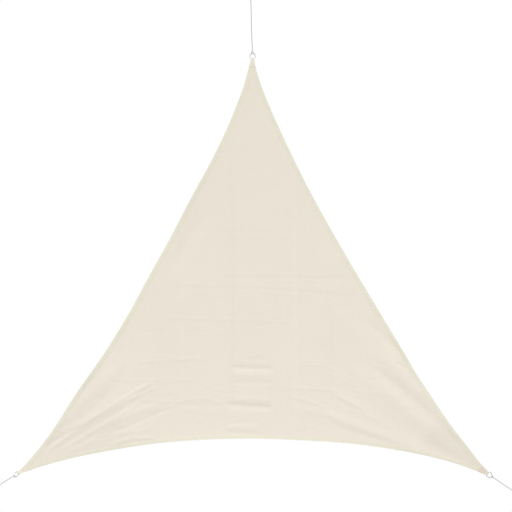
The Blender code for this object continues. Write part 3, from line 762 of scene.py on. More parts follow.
@dataclass(frozen=True)
class ClothFinish:
    """Closely woven cream sailcloth, its hem a little greener where it lies double, with painted shade of
    its slack and folds mixed in.
    """

    panel: Colour = (0.811, 0.748, 0.656)
    hem: Colour = (0.790, 0.754, 0.628)
    dust: Colour = (0.800, 0.737, 0.645)
    # the colour that painted shade and dark slubs mix the cloth towards
    darkest: Colour = (0.675, 0.620, 0.540)
    patch_scale: float = 2.2
    threads_per_m: float = 700.0
    slub_depth: float = 0.22
    crumple_scale: float = 16.0
    crumple_depth: float = 0.0016
    crinkle_width: float = 0.35
    crinkle_height: float = 0.10
    crinkle_depth: float = 0.0006
    thread_depth: float = 0.0002

    def material(self, effects: Effects) -> bpy.types.Material:
        """The sail's material, which reads the cloth's own hem attribute and its attribute of painted
        shade.
        """
        name = "cream sailcloth"
        material, nodes, shader, place, patches = new_material(name, effects, self.patch_scale)
        ground = nodes.blend(nodes.maths("MULTIPLY", patches, 0.5), self.panel, self.dust)
        cloth = nodes.blend(nodes.attribute("hem"), ground, self.hem)
        slubs = nodes.group(effects.slubs, Vector=place)
        # dark slubs of uneven thread, plus the painted shade and painted light that the cloth keeps for
        # each point
        slubs_and_painted_shade = nodes.maths("MULTIPLY_ADD", slubs, self.slub_depth, nodes.attribute("tone"))
        crumple = nodes.noise(place, self.crumple_scale, 5.0, Roughness=0.62)
        soft = nodes.bump(crumple, self.crumple_depth, 1.0)
        net = {"Width": self.crinkle_width, "Height": self.crinkle_height}
        crinkles = nodes.group(effects.crinkles, Vector=place, **net)
        creased = nodes.bump(crinkles, self.crinkle_depth, 1.0, Normal=soft)
        weave = nodes.group(effects.weave, Vector=place, Threads_per_metre=self.threads_per_m)
        nodes.wire(
            shader,
            Base_Color=nodes.blend(slubs_and_painted_shade, cloth, self.darkest),
            Normal=nodes.bump(weave, self.thread_depth, 0.35, Normal=creased),
            Roughness=nodes.maths("MULTIPLY_ADD", weave, 0.06, 0.86),
            Specular_IOR_Level=0.25,
        )
        return material


@dataclass(frozen=True)
class WebbingFinish:
    """Ribbed tan webbing, its rib valleys painted darker as painted shade."""

    light: Colour = (0.835, 0.790, 0.660)
    shade: Colour = (0.720, 0.660, 0.540)
    patch_scale: float = 90.0
    ribs_per_m: float = 520.0
    rib_depth: float = 0.0003
    # painted shade: how much further the colour is mixed towards the shade colour
    tab_painted_shade: float = 0.0

    def material(self, effects: Effects) -> bpy.types.Material:
        """The tabs' material, ribbed along the webbing's own map."""
        material, nodes, shader, _, patches = new_material("tan webbing", effects, self.patch_scale)
        strip = nodes.add("UVMap", uv_map="strip").outputs["UV"]
        place = nodes.add("SeparateXYZ", Vector=strip).outputs
        ribs = nodes.maths("SINE", nodes.maths("MULTIPLY", place["X"], self.ribs_per_m * math.tau))
        picks = nodes.maths("SINE", nodes.maths("MULTIPLY", place["Y"], self.ribs_per_m * math.pi))
        height = nodes.maths("MULTIPLY_ADD", picks, 0.3, nodes.maths("MULTIPLY_ADD", ribs, 0.35, 0.5))
        # painted shade: the colour is mixed darker where the ribs and picks lie low
        deep = nodes.maths("MULTIPLY", nodes.maths("SUBTRACT", 1.0, height), 0.35)
        # random wear patches, plus the painted shade in the valleys and the tab's painted shade at its
        # corner
        wear_and_painted_shade = nodes.maths("ADD", nodes.maths("MULTIPLY_ADD", patches, 0.15, deep), self.tab_painted_shade)
        nodes.wire(
            shader,
            Base_Color=nodes.blend(wear_and_painted_shade, self.light, self.shade),
            Normal=nodes.bump(height, self.rib_depth, 0.8),
            Roughness=0.82,
        )
        return material


@dataclass(frozen=True)
class ThreadFinish:
    """Polyester sewing thread, a little glossier than the cloth."""

    colour: Colour = (0.76, 0.71, 0.60)
    shade: Colour = (0.66, 0.61, 0.51)
    patch_scale: float = 40.0
    twist_scale: float = 1500.0
    twist_depth: float = 0.0002

    def material(self, effects: Effects) -> bpy.types.Material:
        """The stitches' material."""
        material, nodes, shader, place, patches = new_material("sewing thread", effects, self.patch_scale)
        nodes.wire(
            shader,
            Base_Color=nodes.blend(patches, self.colour, self.shade),
            Normal=nodes.bump(nodes.noise(place, self.twist_scale, 1.0), self.twist_depth, 0.5),
            Roughness=0.55,
        )
        return material


@dataclass(frozen=True)
class SteelFinish:
    """Bent steel wire with a satin face, fine draw marks and a few dull patches."""

    bright: Colour = (0.54, 0.55, 0.57)
    dull: Colour = (0.43, 0.44, 0.46)
    patch_scale: float = 160.0
    mark_scale: float = 2200.0
    mark_depth: float = 0.0001

    def material(self, effects: Effects) -> bpy.types.Material:
        """The rings' material."""
        material, nodes, shader, place, patches = new_material("satin steel", effects, self.patch_scale)
        nodes.wire(
            shader,
            Base_Color=nodes.blend(patches, self.bright, self.dull),
            Normal=nodes.bump(nodes.noise(place, self.mark_scale, 2.0), self.mark_depth, 0.15),
            Roughness=nodes.maths("MULTIPLY_ADD", patches, 0.16, 0.24),
            Metallic=1.0,
        )
        return material


@dataclass(frozen=True)
class RopeFinish:
    """Braided grey cord: its plaits stand proud and their valleys are painted darker, as painted shade.
    """

    plait: Colour = (0.53, 0.53, 0.53)
    valley_painted_shade: Colour = (0.39, 0.39, 0.39)
    patch_scale: float = 60.0
    fibres: float = 26.0
    fibre_depth: float = 0.0002

    def material(self, effects: Effects) -> bpy.types.Material:
        """The cords' material, which reads their plait attribute and map."""
        material, nodes, shader, _, patches = new_material("braided cord", effects, self.patch_scale)
        # painted shade: the colour runs from the valley colour where the plait is low to the plait colour
        # at its crowns
        high = nodes.maths(
            "MULTIPLY_ADD", patches, -0.12, nodes.maths("POWER", nodes.attribute("plait"), 0.7)
        )
        wave = nodes.add(
            "TexWave",
            bands_direction="DIAGONAL",
            Vector=nodes.add("UVMap", uv_map="lay").outputs["UV"],
            Scale=self.fibres,
            Distortion=2.0,
            Detail=2.0,
        )
        nodes.wire(
            shader,
            Base_Color=nodes.blend(high, self.valley_painted_shade, self.plait),
            Normal=nodes.bump(wave.outputs["Fac"], self.fibre_depth, 0.4),
            Roughness=0.78,
        )
        return material


@dataclass(frozen=True)
class FloorFinish:
    """A plain pale studio floor."""

    pale: Colour = (0.86, 0.86, 0.85)
    scuffed: Colour = (0.82, 0.82, 0.81)
    patch_scale: float = 0.8

    def material(self, effects: Effects) -> bpy.types.Material:
        """The floor's material."""
        material, nodes, shader, _, patches = new_material("pale floor", effects, self.patch_scale)
        nodes.wire(shader, Base_Color=nodes.blend(patches, self.pale, self.scuffed), Roughness=0.7)
        return material


# ---------------------------------------------------------------- the hung shape
class SailShape:
    """The outline and the relief of the cloth as it hangs, which every sewn piece follows."""

    corners = {corner.name: corner for corner in CORNERS}
    tangent_step = 1e-4
    crossing_reach = 0.12
    crossing_steps = 600
    tab_reach = 0.04
    tab_steps = 41
    curve_steps = 4
    edge_steps = 121

    def tip_corner(self, corner: Corner, side: int) -> np.ndarray:
        """One end of the cloth's cut tip; side is +1 or -1 across the pull line."""
        u, v = corner.axes()
        half = corner.tip[0] if side < 0 else corner.tip[1]
        return np.array(corner.ring) - u * corner.tip_back + v * side * half

    def edge_points(self, edge: Edge, share: np.ndarray, inward: float = 0.0) -> np.ndarray:
        """Points of the sail's edge, or of a line inside it.

        Args:
            edge: the hem that is followed.
            share: shares of the way along it.
            inward: how far inside the edge the line lies.

        Returns:
            The (x, z) points, one row each.
        """
        share = np.atleast_1d(np.asarray(share, float))
        first = self.tip_corner(self.corners[edge.start], 1)
        along = self.tip_corner(self.corners[edge.end], -1) - first
        normal = np.array([-along[1], along[0]]) / np.linalg.norm(along)
        knots = (0.0, *STATIONS, 1.0)
        depth = np.array((0.0, *edge.insets, 0.0)) / 1000

        def line(t: np.ndarray) -> np.ndarray:
            """The edge itself at shares of the way along it."""
            return first + t[:, None] * along + smooth_curve(knots, depth, t) * normal

        points = line(share)
        if inward:
            ahead = np.minimum(share + self.tangent_step, 1)
            run = line(ahead) - line(np.maximum(share - self.tangent_step, 0))
            run /= np.linalg.norm(run, axis=1)[:, None]
            points = points + inward * np.stack([-run[:, 1], run[:, 0]], axis=1)
        return points

    def hem_crossing(self, before: Edge, after: Edge) -> tuple[float, float, np.ndarray]:
        """Where the lines just inside two meeting hems cross: two shares and the point."""
        near = np.linspace(0, self.crossing_reach, self.crossing_steps)
        a = self.edge_points(before, 1 - near, before.hem + HEM_STEP)
        b = self.edge_points(after, near, after.hem + HEM_STEP)
        far = np.linalg.norm(a[:, None] - b[None], axis=2)
        i, j = np.unravel_index(far.argmin(), far.shape)
        return 1 - near[i], near[j], (a[i] + b[j]) / 2

    def half_widths(self, corner: Corner, back: np.ndarray) -> np.ndarray:
        """Half widths of the cloth at distances back from a ring: negative v, then positive v."""
        u, v = corner.axes()
        number = CORNERS.index(corner)
        widths = []
        near = np.linspace(0, self.tab_reach, self.tab_steps)
        for edge, shares in ((EDGES[number - 1], 1 - near), (EDGES[number], near)):
            away = self.edge_points(edge, shares) - np.array(corner.ring)
            widths.append(np.interp(back, -(away @ u), abs(away @ v)))
        return np.array(widths).T

    def fold_relief(self, points: np.ndarray, fold: Fold, ends: float) -> np.ndarray:
        """How far one fold lifts each point towards the front.

        Args:
            points: the (x, z) points.
            fold: the fold.
            ends: the share of its length over which each of its ends runs out.

        Returns:
            The lift at each point.
        """
        knots = np.arange(len(fold.path))
        steps = self.curve_steps * knots[-1]
        line = smooth_curve(knots, fold.path, np.linspace(0, knots[-1], steps + 1))
        lift = np.zeros(len(points))
        reach = FOLD_REACH * fold.width
        low, high = line.min(axis=0) - reach, line.max(axis=0) + reach
        close = np.all((points > low) & (points < high), axis=1)
        far, share = nearest_on_line(points[close], line)
        fade = smooth_step(np.minimum(share, 1 - share) / ends)
        lift[close] = fold.height * fade * np.exp(-((far / fold.width) ** 2))
        return lift

    def roll_relief(self, points: np.ndarray) -> np.ndarray:
        """How far the rolled stretches of the hems lift each point towards the front."""
        lift = np.zeros(len(points))
        for number, edge in enumerate(EDGES):
            line = self.edge_points(edge, np.linspace(0, 1, self.edge_steps))
            length = np.linalg.norm(np.diff(line, axis=0), axis=1).sum()
            far, share = nearest_on_line(points, line)
            inward = np.clip(1 - far / ROLL_WIDTH, 0, 1) ** 2
            for roll in (r for r in ROLLS if r.edge == number):
                away = (share - roll.at) * length / (roll.length / 2)
                lift += roll.rise * inward * np.exp(-(away**2))
            for twist in (t for t in TWISTS if t.edge == number):
                away = (share - twist.at) * length / (twist.length / 2)
                band = np.interp(far / edge.hem, (0, 0.5, 1), (twist.rim, twist.middle, 0))
                lift += band * np.exp(-(away**2))
        return lift

    def tone(self, points: np.ndarray) -> np.ndarray:
        """How many steps of painted shade each point gets, below 0 painted light; a full set of steps
        reaches the darkest colour.
        """
        return sum(self.fold_relief(points, patch, CREASE_FADE) for patch in PAINTED_SHADE_PATCHES)

    def depth(self, points: np.ndarray) -> np.ndarray:
        """The y of the cloth's middle surface at each (x, z) point; the front is at lower y."""
        rings = [np.array(corner.ring) for corner in CORNERS]
        matrix = np.array([[*ring, 1.0] for ring in rings]).T
        shares = np.linalg.solve(matrix, np.vstack([points.T, np.ones(len(points))]))
        most = (1 / len(CORNERS)) ** len(CORNERS)
        belly = BELLY * np.clip(shares.prod(axis=0) / most, 0, 1) ** BELLY_SPREAD
        lift = self.roll_relief(points)
        for folds, ends in ((PUCKERS, PUCKER_FADE), (FOLDS, FOLD_FADE), (CREASES, CREASE_FADE)):
            for fold in folds:
                lift += self.fold_relief(points, fold, ends)
        nearest = np.min([np.linalg.norm(points - ring, axis=1) for ring in rings], axis=0)
        loose = smooth_step((nearest - TAUT_RADIUS) / (SLACK_RADIUS - TAUT_RADIUS))
        return loose * (belly - lift)


@dataclass
class SailCloth:
    """The cut of cloth with its turned hem: one thin closed sheet on the hung relief."""

    shape: SailShape
    rows: int = 280
    rows_crowded_at: float = 0.80
    rows_crowding: float = 0.085
    crowding_fade: float = 0.2
    tip_rows: int = 10
    rim_thickness: float = 0.0016
    edge_thinner: float = 0.0003
    nearly_full_at: float = 0.0012
    full_at: float = 0.0045
    seam_from_fold: float = 0.0045
    seam_half: float = 0.0022
    seam_dent: float = 0.0004

    def hem_profile(self, edge: Edge) -> list[tuple[float, float]]:
        """Distances inside the edge across a hem, and the cloth's thickness at each."""
        seam = edge.hem - self.seam_from_fold
        nearly_full = HEM_THICKNESS - self.edge_thinner
        return [
            (0.0, self.rim_thickness),
            (self.nearly_full_at, nearly_full),
            (self.full_at, HEM_THICKNESS),
            (edge.hem / 2, HEM_THICKNESS),
            (seam - self.seam_half, HEM_THICKNESS),
            (seam, HEM_THICKNESS - self.seam_dent),
            (seam + self.seam_half, HEM_THICKNESS),
            (edge.hem, nearly_full),
        ]

    def crowded(self, share: np.ndarray) -> np.ndarray:
        """Rows of facets, drawn towards the height where the short puckers lie."""
        at = self.rows_crowded_at
        pull = np.sin(np.clip((share - at) * math.pi / max(at, 1 - at), -math.pi, math.pi))
        fade = smooth_step(np.minimum(share, 1 - share) / self.crowding_fade)
        return share - self.rows_crowding * fade * pull

    def lay_out(self) -> None:
        """Lays the cloth out flat: the panel's lattice, the hems' strips and the tips."""
        self.points: list = []
        self.thickness: list = []
        self.hem: list = []
        self.triangles: list = []
        self.rim: list = []
        meets = [self.shape.hem_crossing(EDGES[k - 1], EDGES[k]) for k in range(3)]
        inner = [m[2] for m in meets]
        spans = [(meets[k][1], meets[(k + 1) % 3][0]) for k in range(3)]
        rows = self.crowded(np.linspace(0, 1, self.rows + 1))
        borders = self.lay_panel(rows, inner, spans)
        steps = (rows, np.linspace(0, 1, self.rows + 1), 1 - rows[::-1])
        hems = []
        for edge, span, border, step in zip(EDGES, spans, borders, steps):
            share = span[0] + step * (span[1] - span[0])
            lines = [
                self.add(self.shape.edge_points(edge, share, inset), thick, 1.0)
                for inset, thick in self.hem_profile(edge)
            ]
            for a, b in zip(lines, [*lines[1:], border]):
                self.strip(a, b)
            hems.append(lines)
        tips = [self.lay_tip(k, spans, hems, borders[k][0]) for k in range(3)]
        for k in range(3):
            self.rim += [*tips[k][1][1:], *hems[k][0][1:-1], *tips[(k + 1) % 3][0][:-1]]
            self.rim += tips[(k + 1) % 3][2]

    def add(self, points: np.ndarray, thickness: object, hem: float) -> list[int]:
        """Adds flat points with their thickness and hem value; returns their numbers."""
        first = len(self.points)
        self.points.extend(np.atleast_2d(points))
        count = len(self.points) - first
        self.thickness.extend(np.broadcast_to(thickness, count))
        self.hem.extend([hem] * count)
        return list(range(first, first + count))

    def strip(self, a: list[int], b: list[int]) -> None:
        """Two triangles between each pair of neighbours of two rows of equal length."""
        for k in range(len(a) - 1):
            self.triangles += [(a[k], a[k + 1], b[k + 1]), (a[k], b[k + 1], b[k])]

    def lay_panel(self, rows: np.ndarray, inner: list, spans: list) -> list[list[int]]:
        """Lays the panel's lattice.

        Args:
            rows: how far down each row of the lattice lies.
            inner: the panel's three corners.
            spans: for each edge, the shares between which its inner line runs.

        Returns:
            The numbers of the points along the panel's three borders.
        """
        shares = []
        for row, down in enumerate(rows):
            across = np.linspace(0, 1, row + 1) if row else np.array([0.0])
            shares.append(np.stack([0 * across + 1 - down, down * (1 - across), down * across], 1))
        shares = np.concatenate(shares)
        flat = shares @ np.array(inner)
        for number, edge in enumerate(EDGES):
            start, end = shares[:, number], shares[:, (number + 1) % 3]
            weight = start + end
            along = np.where(weight > 1e-9, end / np.maximum(weight, 1e-9), 0.0)
            begin, finish = spans[number]
            line = self.shape.edge_points(edge, begin + along * (finish - begin), edge.hem + HEM_STEP)
            a, b = inner[number], inner[(number + 1) % 3]
            flat += weight[:, None] * (line - (a + along[:, None] * (b - a)))
        for number in range(3):
            flat[np.isclose(shares[:, number], 1)] = inner[number]
        panel = self.add(flat, PANEL_THICKNESS, 0.0)

        def lattice(row: int, column: int) -> int:
            """The number of the point at a row and column."""
            return panel[row * (row + 1) // 2 + column]

        for row in range(self.rows):
            for column in range(row + 1):
                apex, below = lattice(row, column), lattice(row + 1, column)
                self.triangles.append((apex, below, lattice(row + 1, column + 1)))
                if column < row:
                    beside = lattice(row, column + 1)
                    self.triangles.append((apex, lattice(row + 1, column + 1), beside))
        count = self.rows
        return [
            [lattice(row, 0) for row in range(count + 1)],
            [lattice(count, column) for column in range(count + 1)],
            [lattice(row, row) for row in range(count, -1, -1)],
        ]

    def lay_tip(self, number: int, spans: list, hems: list, middle: int) -> tuple:
        """Lays the cloth between where two hems meet and the cut end under the tab.

        Args:
            number: the corner's number.
            spans: for each edge, the shares between which its inner line runs.
            hems: the numbers of each hem's lines of points, from the rim inwards.
            middle: the number of the panel's corner.

        Returns:
            The numbers along the edge before, along the edge after, and inside the cut end.
        """
        before, after = EDGES[number - 1], EDGES[number]
        row = [*(line[-1] for line in hems[number - 1]), middle]
        row += [line[0] for line in hems[number][::-1]]
        meet = np.array([self.points[k] for k in row])
        thick = np.array([self.thickness[k] for k in row])
        count = len(row) - 1
        even = np.linspace(0, 1, count + 1)[:, None]
        corner = CORNERS[number]
        ends = self.shape.tip_corner(corner, -1), self.shape.tip_corner(corner, 1)
        cut = ends[0] + even * (ends[1] - ends[0])
        rows = [row]
        for s in np.linspace(1, 0, self.tip_rows + 1)[1:]:
            base = (1 - s) * cut + s * meet
            first = self.shape.edge_points(before, 1 - s * (1 - spans[number - 1][1]))
            last = self.shape.edge_points(after, s * spans[number][0])
            base = base + (first - base[0]) * (1 - even) + (last - base[-1]) * even
            full = (1 - s) * HEM_THICKNESS + s * thick
            full[[0, -1]] = self.rim_thickness
            rows.append(self.add(base, full, 1.0))
        for a, b in zip(rows, rows[1:]):
            self.strip(a, b)
        edge_before = [r[0] for r in rows]
        edge_after = [r[-1] for r in rows[::-1]]
        return edge_before, edge_after, rows[-1][:-1]

    def build(self) -> bpy.types.Object:
        """The cloth as a closed mesh with its hem and tone attributes."""
        self.lay_out()
        flat = np.array(self.points)
        middle = self.shape.depth(flat)
        half = np.array(self.thickness) / 2
        count = len(flat)
        points = np.concatenate(
            [
                np.stack([flat[:, 0], middle - half, flat[:, 1]], axis=1),
                np.stack([flat[:, 0], middle + half, flat[:, 1]], axis=1),
            ]
        )
        tri = np.array(self.triangles)
        a, b, c = (flat[tri[:, k]] for k in range(3))
        turn = (b - a)[:, 0] * (c - a)[:, 1] - (b - a)[:, 1] * (c - a)[:, 0]
        tri = np.where((turn < 0)[:, None], tri[:, ::-1], tri)
        faces = [*tri.tolist(), *(tri[:, ::-1] + count).tolist()]
        faces += [(b, a, a + count, b + count) for a, b in zip(self.rim, self.rim[1:] + self.rim[:1])]
        cloth = mesh_piece("sailcloth", points, faces)
        shade_round(cloth, 50)
        set_point_values(cloth, "hem", np.tile(self.hem, 2))
        set_point_values(cloth, "tone", np.tile(self.shape.tone(flat), 2) / PAINTED_SHADE_STEPS)
        return cloth


# ---------------------------------------------------------------- corner pieces
@dataclass
class CornerTab:
    """Webbing folded round the ring's bar, its two legs sewn to the cloth's two faces."""

    shape: SailShape
    corner: Corner
    sewn: float = 0.036
    inset: float = 0.001
    shoulder: float = 0.0085
    clasp: float = 0.0068
    gather_length: float = 0.0065
    sewn_rows: int = 19
    free_rows: int = 30
    loop_rows: int = 25
    columns: int = 28
    rim_share: float = 0.45
    selvedge: float = 0.0002
    pleat: float = 0.0005
    pleats: float = 2.5
    closing: float = 0.3
    closed_gap: float = 0.0003
    seam_margin: float = 0.0035

    def leg(self) -> list[tuple]:
        """One leg to the clasp: distance back, half widths, turn, gather and how far off the middle."""
        corner = self.corner
        shoulder, clasp = RING_BAR + self.shoulder, RING_BAR + self.clasp
        sewn = corner.tip_back + self.sewn * np.linspace(1, 0, self.sewn_rows)
        free = np.linspace(corner.tip_back, clasp, self.free_rows)[1:]
        spread = np.clip((free - shoulder) / (corner.tip_back - shoulder), 0, 1)[:, None]
        tip, neck = np.array(corner.tip) - self.inset, np.array(corner.neck)
        drawn_in = smooth_step((clasp + self.gather_length - free) / self.gather_length)[:, None]
        width = neck + spread * (tip - neck)
        width += drawn_in * (corner.loop - width)
        away = [*sewn, *free]
        widths = [*(self.shape.half_widths(corner, sewn) - self.inset), *width]
        gather = np.array([*(0 * sewn), *smooth_step(1 - spread[:, 0])])
        apart = HEM_THICKNESS / 2 + GAP
        along = (corner.tip_back - free) / (corner.tip_back - clasp)
        closed = smooth_step(np.minimum(along, 1 - along) / self.closing)
        aparts = [*(apart + 0 * sewn), *(apart - (apart - self.closed_gap) * closed)]
        return list(zip(away, widths, corner.turn_deg * gather, gather, aparts))

    def stations(self) -> list[tuple]:
        """The webbing from its front end round the bar to its back end.

        Returns:
            For each cross-section: its middle in (u, y), normal, half widths, turn and gather.
        """
        around = RING_WIRE / 2 + GAP + WEBBING / 2
        leg = self.leg()
        thick = WEBBING / 2
        stations = []
        for away, half, turn, fold, off in leg:
            stations.append(((-away, -off - thick), (0, -1), half, turn, fold))
        loop = (self.corner.loop, self.corner.loop)
        for angle in np.radians(np.linspace(-90, 90, self.loop_rows)):
            normal = (math.cos(angle), math.sin(angle))
            place = (-RING_BAR + around * normal[0], around * normal[1])
            stations.append((place, normal, loop, self.corner.turn_deg, math.cos(angle) ** 2))
        for away, half, turn, fold, off in reversed(leg):
            stations.append(((-away, off + thick), (0, 1), half, turn, fold))
        return stations

    def build(self) -> bpy.types.Object:
        """The tab as a closed mesh with its own map along the strip."""
        across = np.linspace(0, 1, self.columns)
        edge = np.minimum(across, 1 - across) * (self.columns - 1)
        thick = np.where(edge < 0.5, self.rim_share, 1.0) * WEBBING / 2
        thick = thick + np.where((edge > 0.5) & (edge < 2.5), self.selvedge / 2, 0)
        points, places, length, last = [], [], 0.0, None
        for (u, y), (nu, ny), half, turn, gather in self.stations():
            v = -half[0] + across * (half[0] + half[1])
            pleat = self.pleat * gather * (0.5 - 0.5 * np.cos(math.tau * self.pleats * across))
            sides = np.array([*v, *v[::-1]])
            out = np.array([*(pleat - thick), *(pleat + thick)[::-1]])
            section = np.stack([u + out * nu, sides, y + out * ny], axis=1)
            length += 0.0 if last is None else math.dist(last, (u, y))
            last = (u, y)
            points.append(self.corner.placed(section, turn))
            places += [(side, length) for side in sides]
        count = 2 * self.columns
        faces = []
        for row in range(len(points) - 1):
            for k in range(count):
                a, b = row * count + k, row * count + (k + 1) % count
                faces.append((a, b, b + count, a + count))
        for start in (0, (len(points) - 1) * count):
            for k in range(self.columns - 1):
                faces.append((start + k, start + k + 1, start + count - 2 - k, start + count - 1 - k))
        tab = mesh_piece(f"webbing_tab_{self.corner.name}", np.concatenate(points), faces)
        turn_faces_out(tab)
        shade_round(tab, 60)
        set_point_map(tab, "strip", np.array(places))
        return tab

    def seam_lines(self) -> list[np.ndarray]:
        """The lines of stitching over the sewn end: a box and the cross inside it."""
        corner = self.corner
        u, v = corner.axes()
        margin = self.seam_margin
        far, near = corner.tip_back + self.sewn - margin, corner.tip_back + margin
        half = self.shape.half_widths(corner, np.array([far, near])) - self.inset - margin
        spots = []
        for away, (low, high) in zip((far, near), half):
            spots += [np.array(corner.ring) - away * u + side * v for side in (-low, high)]
        a, b, c, d = spots
        return [np.array(line) for line in ((a, b), (b, d), (d, c), (c, a), (a, d), (b, c))]


@dataclass
class DRing:
    """The D-ring: steel wire bent round, its straight bar inside the tab."""

    corner: Corner
    wire_sides: int = 24
    bow_steps: int = 72
    heel_steps: int = 12
    bar_cuts: int = 4
    same_place: float = 1e-6

    def build(self) -> bpy.types.Object:
        """Bends the wire: half a torus, two straight sides, two heels and the bar between them."""
        deselect_all()
        bpy.ops.mesh.primitive_torus_add(
            location=(RING_BOW, 0, 0),
            major_segments=self.bow_steps,
            minor_segments=self.wire_sides,
            major_radius=RING_SIDE,
            minor_radius=RING_WIRE / 2,
        )
        ring = bpy.context.object
        ring.name = f"d_ring_{self.corner.name}"
        bpy.ops.object.mode_set(mode="EDIT")
        bpy.ops.mesh.select_mode(type="EDGE")
        bpy.ops.mesh.select_all(action="SELECT")
        bpy.ops.mesh.bisect(plane_co=(RING_BOW, 0, 0), plane_no=(1, 0, 0), clear_inner=True)
        self.select_open_ends(ring, (-1, 1))
        straight = RING_BOW + RING_BAR - RING_HEEL
        bpy.ops.mesh.extrude_region_move(TRANSFORM_OT_translate={"value": (-straight, 0, 0)})
        for hand in (-1, 1):
            self.select_open_ends(ring, (hand,))
            bpy.ops.mesh.spin(
                steps=self.heel_steps,
                angle=math.pi / 2 * hand,
                center=(RING_BOW - straight, hand * (RING_SIDE - RING_HEEL), 0),
                axis=(0, 0, -1),
            )
        self.select_open_ends(ring, (-1, 1))
        bpy.ops.mesh.bridge_edge_loops(number_cuts=self.bar_cuts)
        bpy.ops.mesh.select_all(action="SELECT")
        bpy.ops.mesh.remove_doubles(threshold=self.same_place)
        bpy.ops.mesh.normals_make_consistent(inside=False)
        bpy.ops.object.mode_set(mode="OBJECT")
        ring.matrix_world = self.corner.matrix(self.corner.turn_deg) @ ring.matrix_world
        bpy.ops.object.transform_apply(location=True, rotation=True, scale=True)
        ring.data.shade_smooth()
        return ring

    @staticmethod
    def select_open_ends(ring: bpy.types.Object, hands: tuple[int, ...]) -> None:
        """Selects the wire's open end loops on the named sides of the ring."""
        bpy.ops.mesh.select_all(action="DESELECT")
        bm = bmesh.from_edit_mesh(ring.data)
        for edge in bm.edges:
            middle = (edge.verts[0].co + edge.verts[1].co) / 2
            if edge.is_boundary and any(middle.y * hand > 0 for hand in hands):
                edge.select_set(True)
        bm.select_flush_mode()
        bmesh.update_edit_mesh(ring.data)


class Braid:
    """Sweeps a braided rope along routes, with its plaits raised in the mesh."""

    sides = 36
    plaits = 6
    plait_length = 0.0052
    step = 0.0008
    least_steps = 4
    relief = 0.11
    end_dip = 0.45
    steep = 0.8

    def __init__(self, name: str) -> None:
        """Starts an empty piece with a name."""
        self.name = name
        self.points: list = []
        self.faces: list = []
        self.raised: list = []
        self.places: list = []

    def plait_height(self, turn: np.ndarray, along: float) -> np.ndarray:
        """How high the plait is, from 0 in a valley to 1, round the rope at one length."""
        a = turn * self.plaits / 2 + along / self.plait_length
        b = turn * self.plaits / 2 - along / self.plait_length
        over = (np.floor(a) + np.floor(b)) % 2 == 0
        fa, fb = 2 * (a % 1) - 1, 2 * (b % 1) - 1
        across = np.where(over, fb, fa)
        lengthways = np.where(over, fa, fb)
        return np.sqrt(np.clip(1 - across**2, 0, 1)) * (1 - self.end_dip * lengthways**2)

    def follow(self, route: np.ndarray, radius: float) -> np.ndarray:
        """Adds a length of rope.

        Args:
            route: the rope's middle line, as points close together.
            radius: its outer radius.

        Returns:
            The middles of the rope's rings, in order.
        """
        at, line = even_points(route, self.step, self.least_steps)
        count = len(line) - 1
        run = np.gradient(line, axis=0)
        run /= np.linalg.norm(run, axis=1)[:, None]
        start = np.array([0.0, 1.0, 0.0] if abs(run[0][1]) < self.steep else [0.0, 0.0, 1.0])
        normal = start - (start @ run[0]) * run[0]
        turn = np.linspace(0, 1, self.sides, endpoint=False)
        first = sum(len(p) for p in self.points)
        for k, (place, way) in enumerate(zip(line, run)):
            normal = normal - (normal @ way) * way
            normal = normal / np.linalg.norm(normal)
            other = np.cross(way, normal)
            height = self.plait_height(turn, at[k])
            reach = radius * (1 - self.relief * (1 - height))
            ring = np.cos(math.tau * turn)[:, None] * normal + np.sin(math.tau * turn)[:, None] * other
            self.points.append(place + reach[:, None] * ring)
            self.raised.append(height)
            self.places.append(np.stack([turn, 0 * turn + at[k] / (math.tau * radius)], axis=1))
        for row in range(count):
            for k in range(self.sides):
                a = first + row * self.sides + k
                b = first + row * self.sides + (k + 1) % self.sides
                self.faces.append((a, b, b + self.sides, a + self.sides))
        end = first + count * self.sides
        self.faces.append(tuple(range(first, first + self.sides))[::-1])
        self.faces.append(tuple(range(end, end + self.sides)))
        return line

    def build(self) -> bpy.types.Object:
        """The lengths of rope as one piece."""
        rope = mesh_piece(self.name, np.concatenate(self.points), self.faces)
        shade_round(rope, 60)
        set_point_values(rope, "plait", np.concatenate(self.raised))
        set_point_map(rope, "lay", np.concatenate(self.places))
        return rope


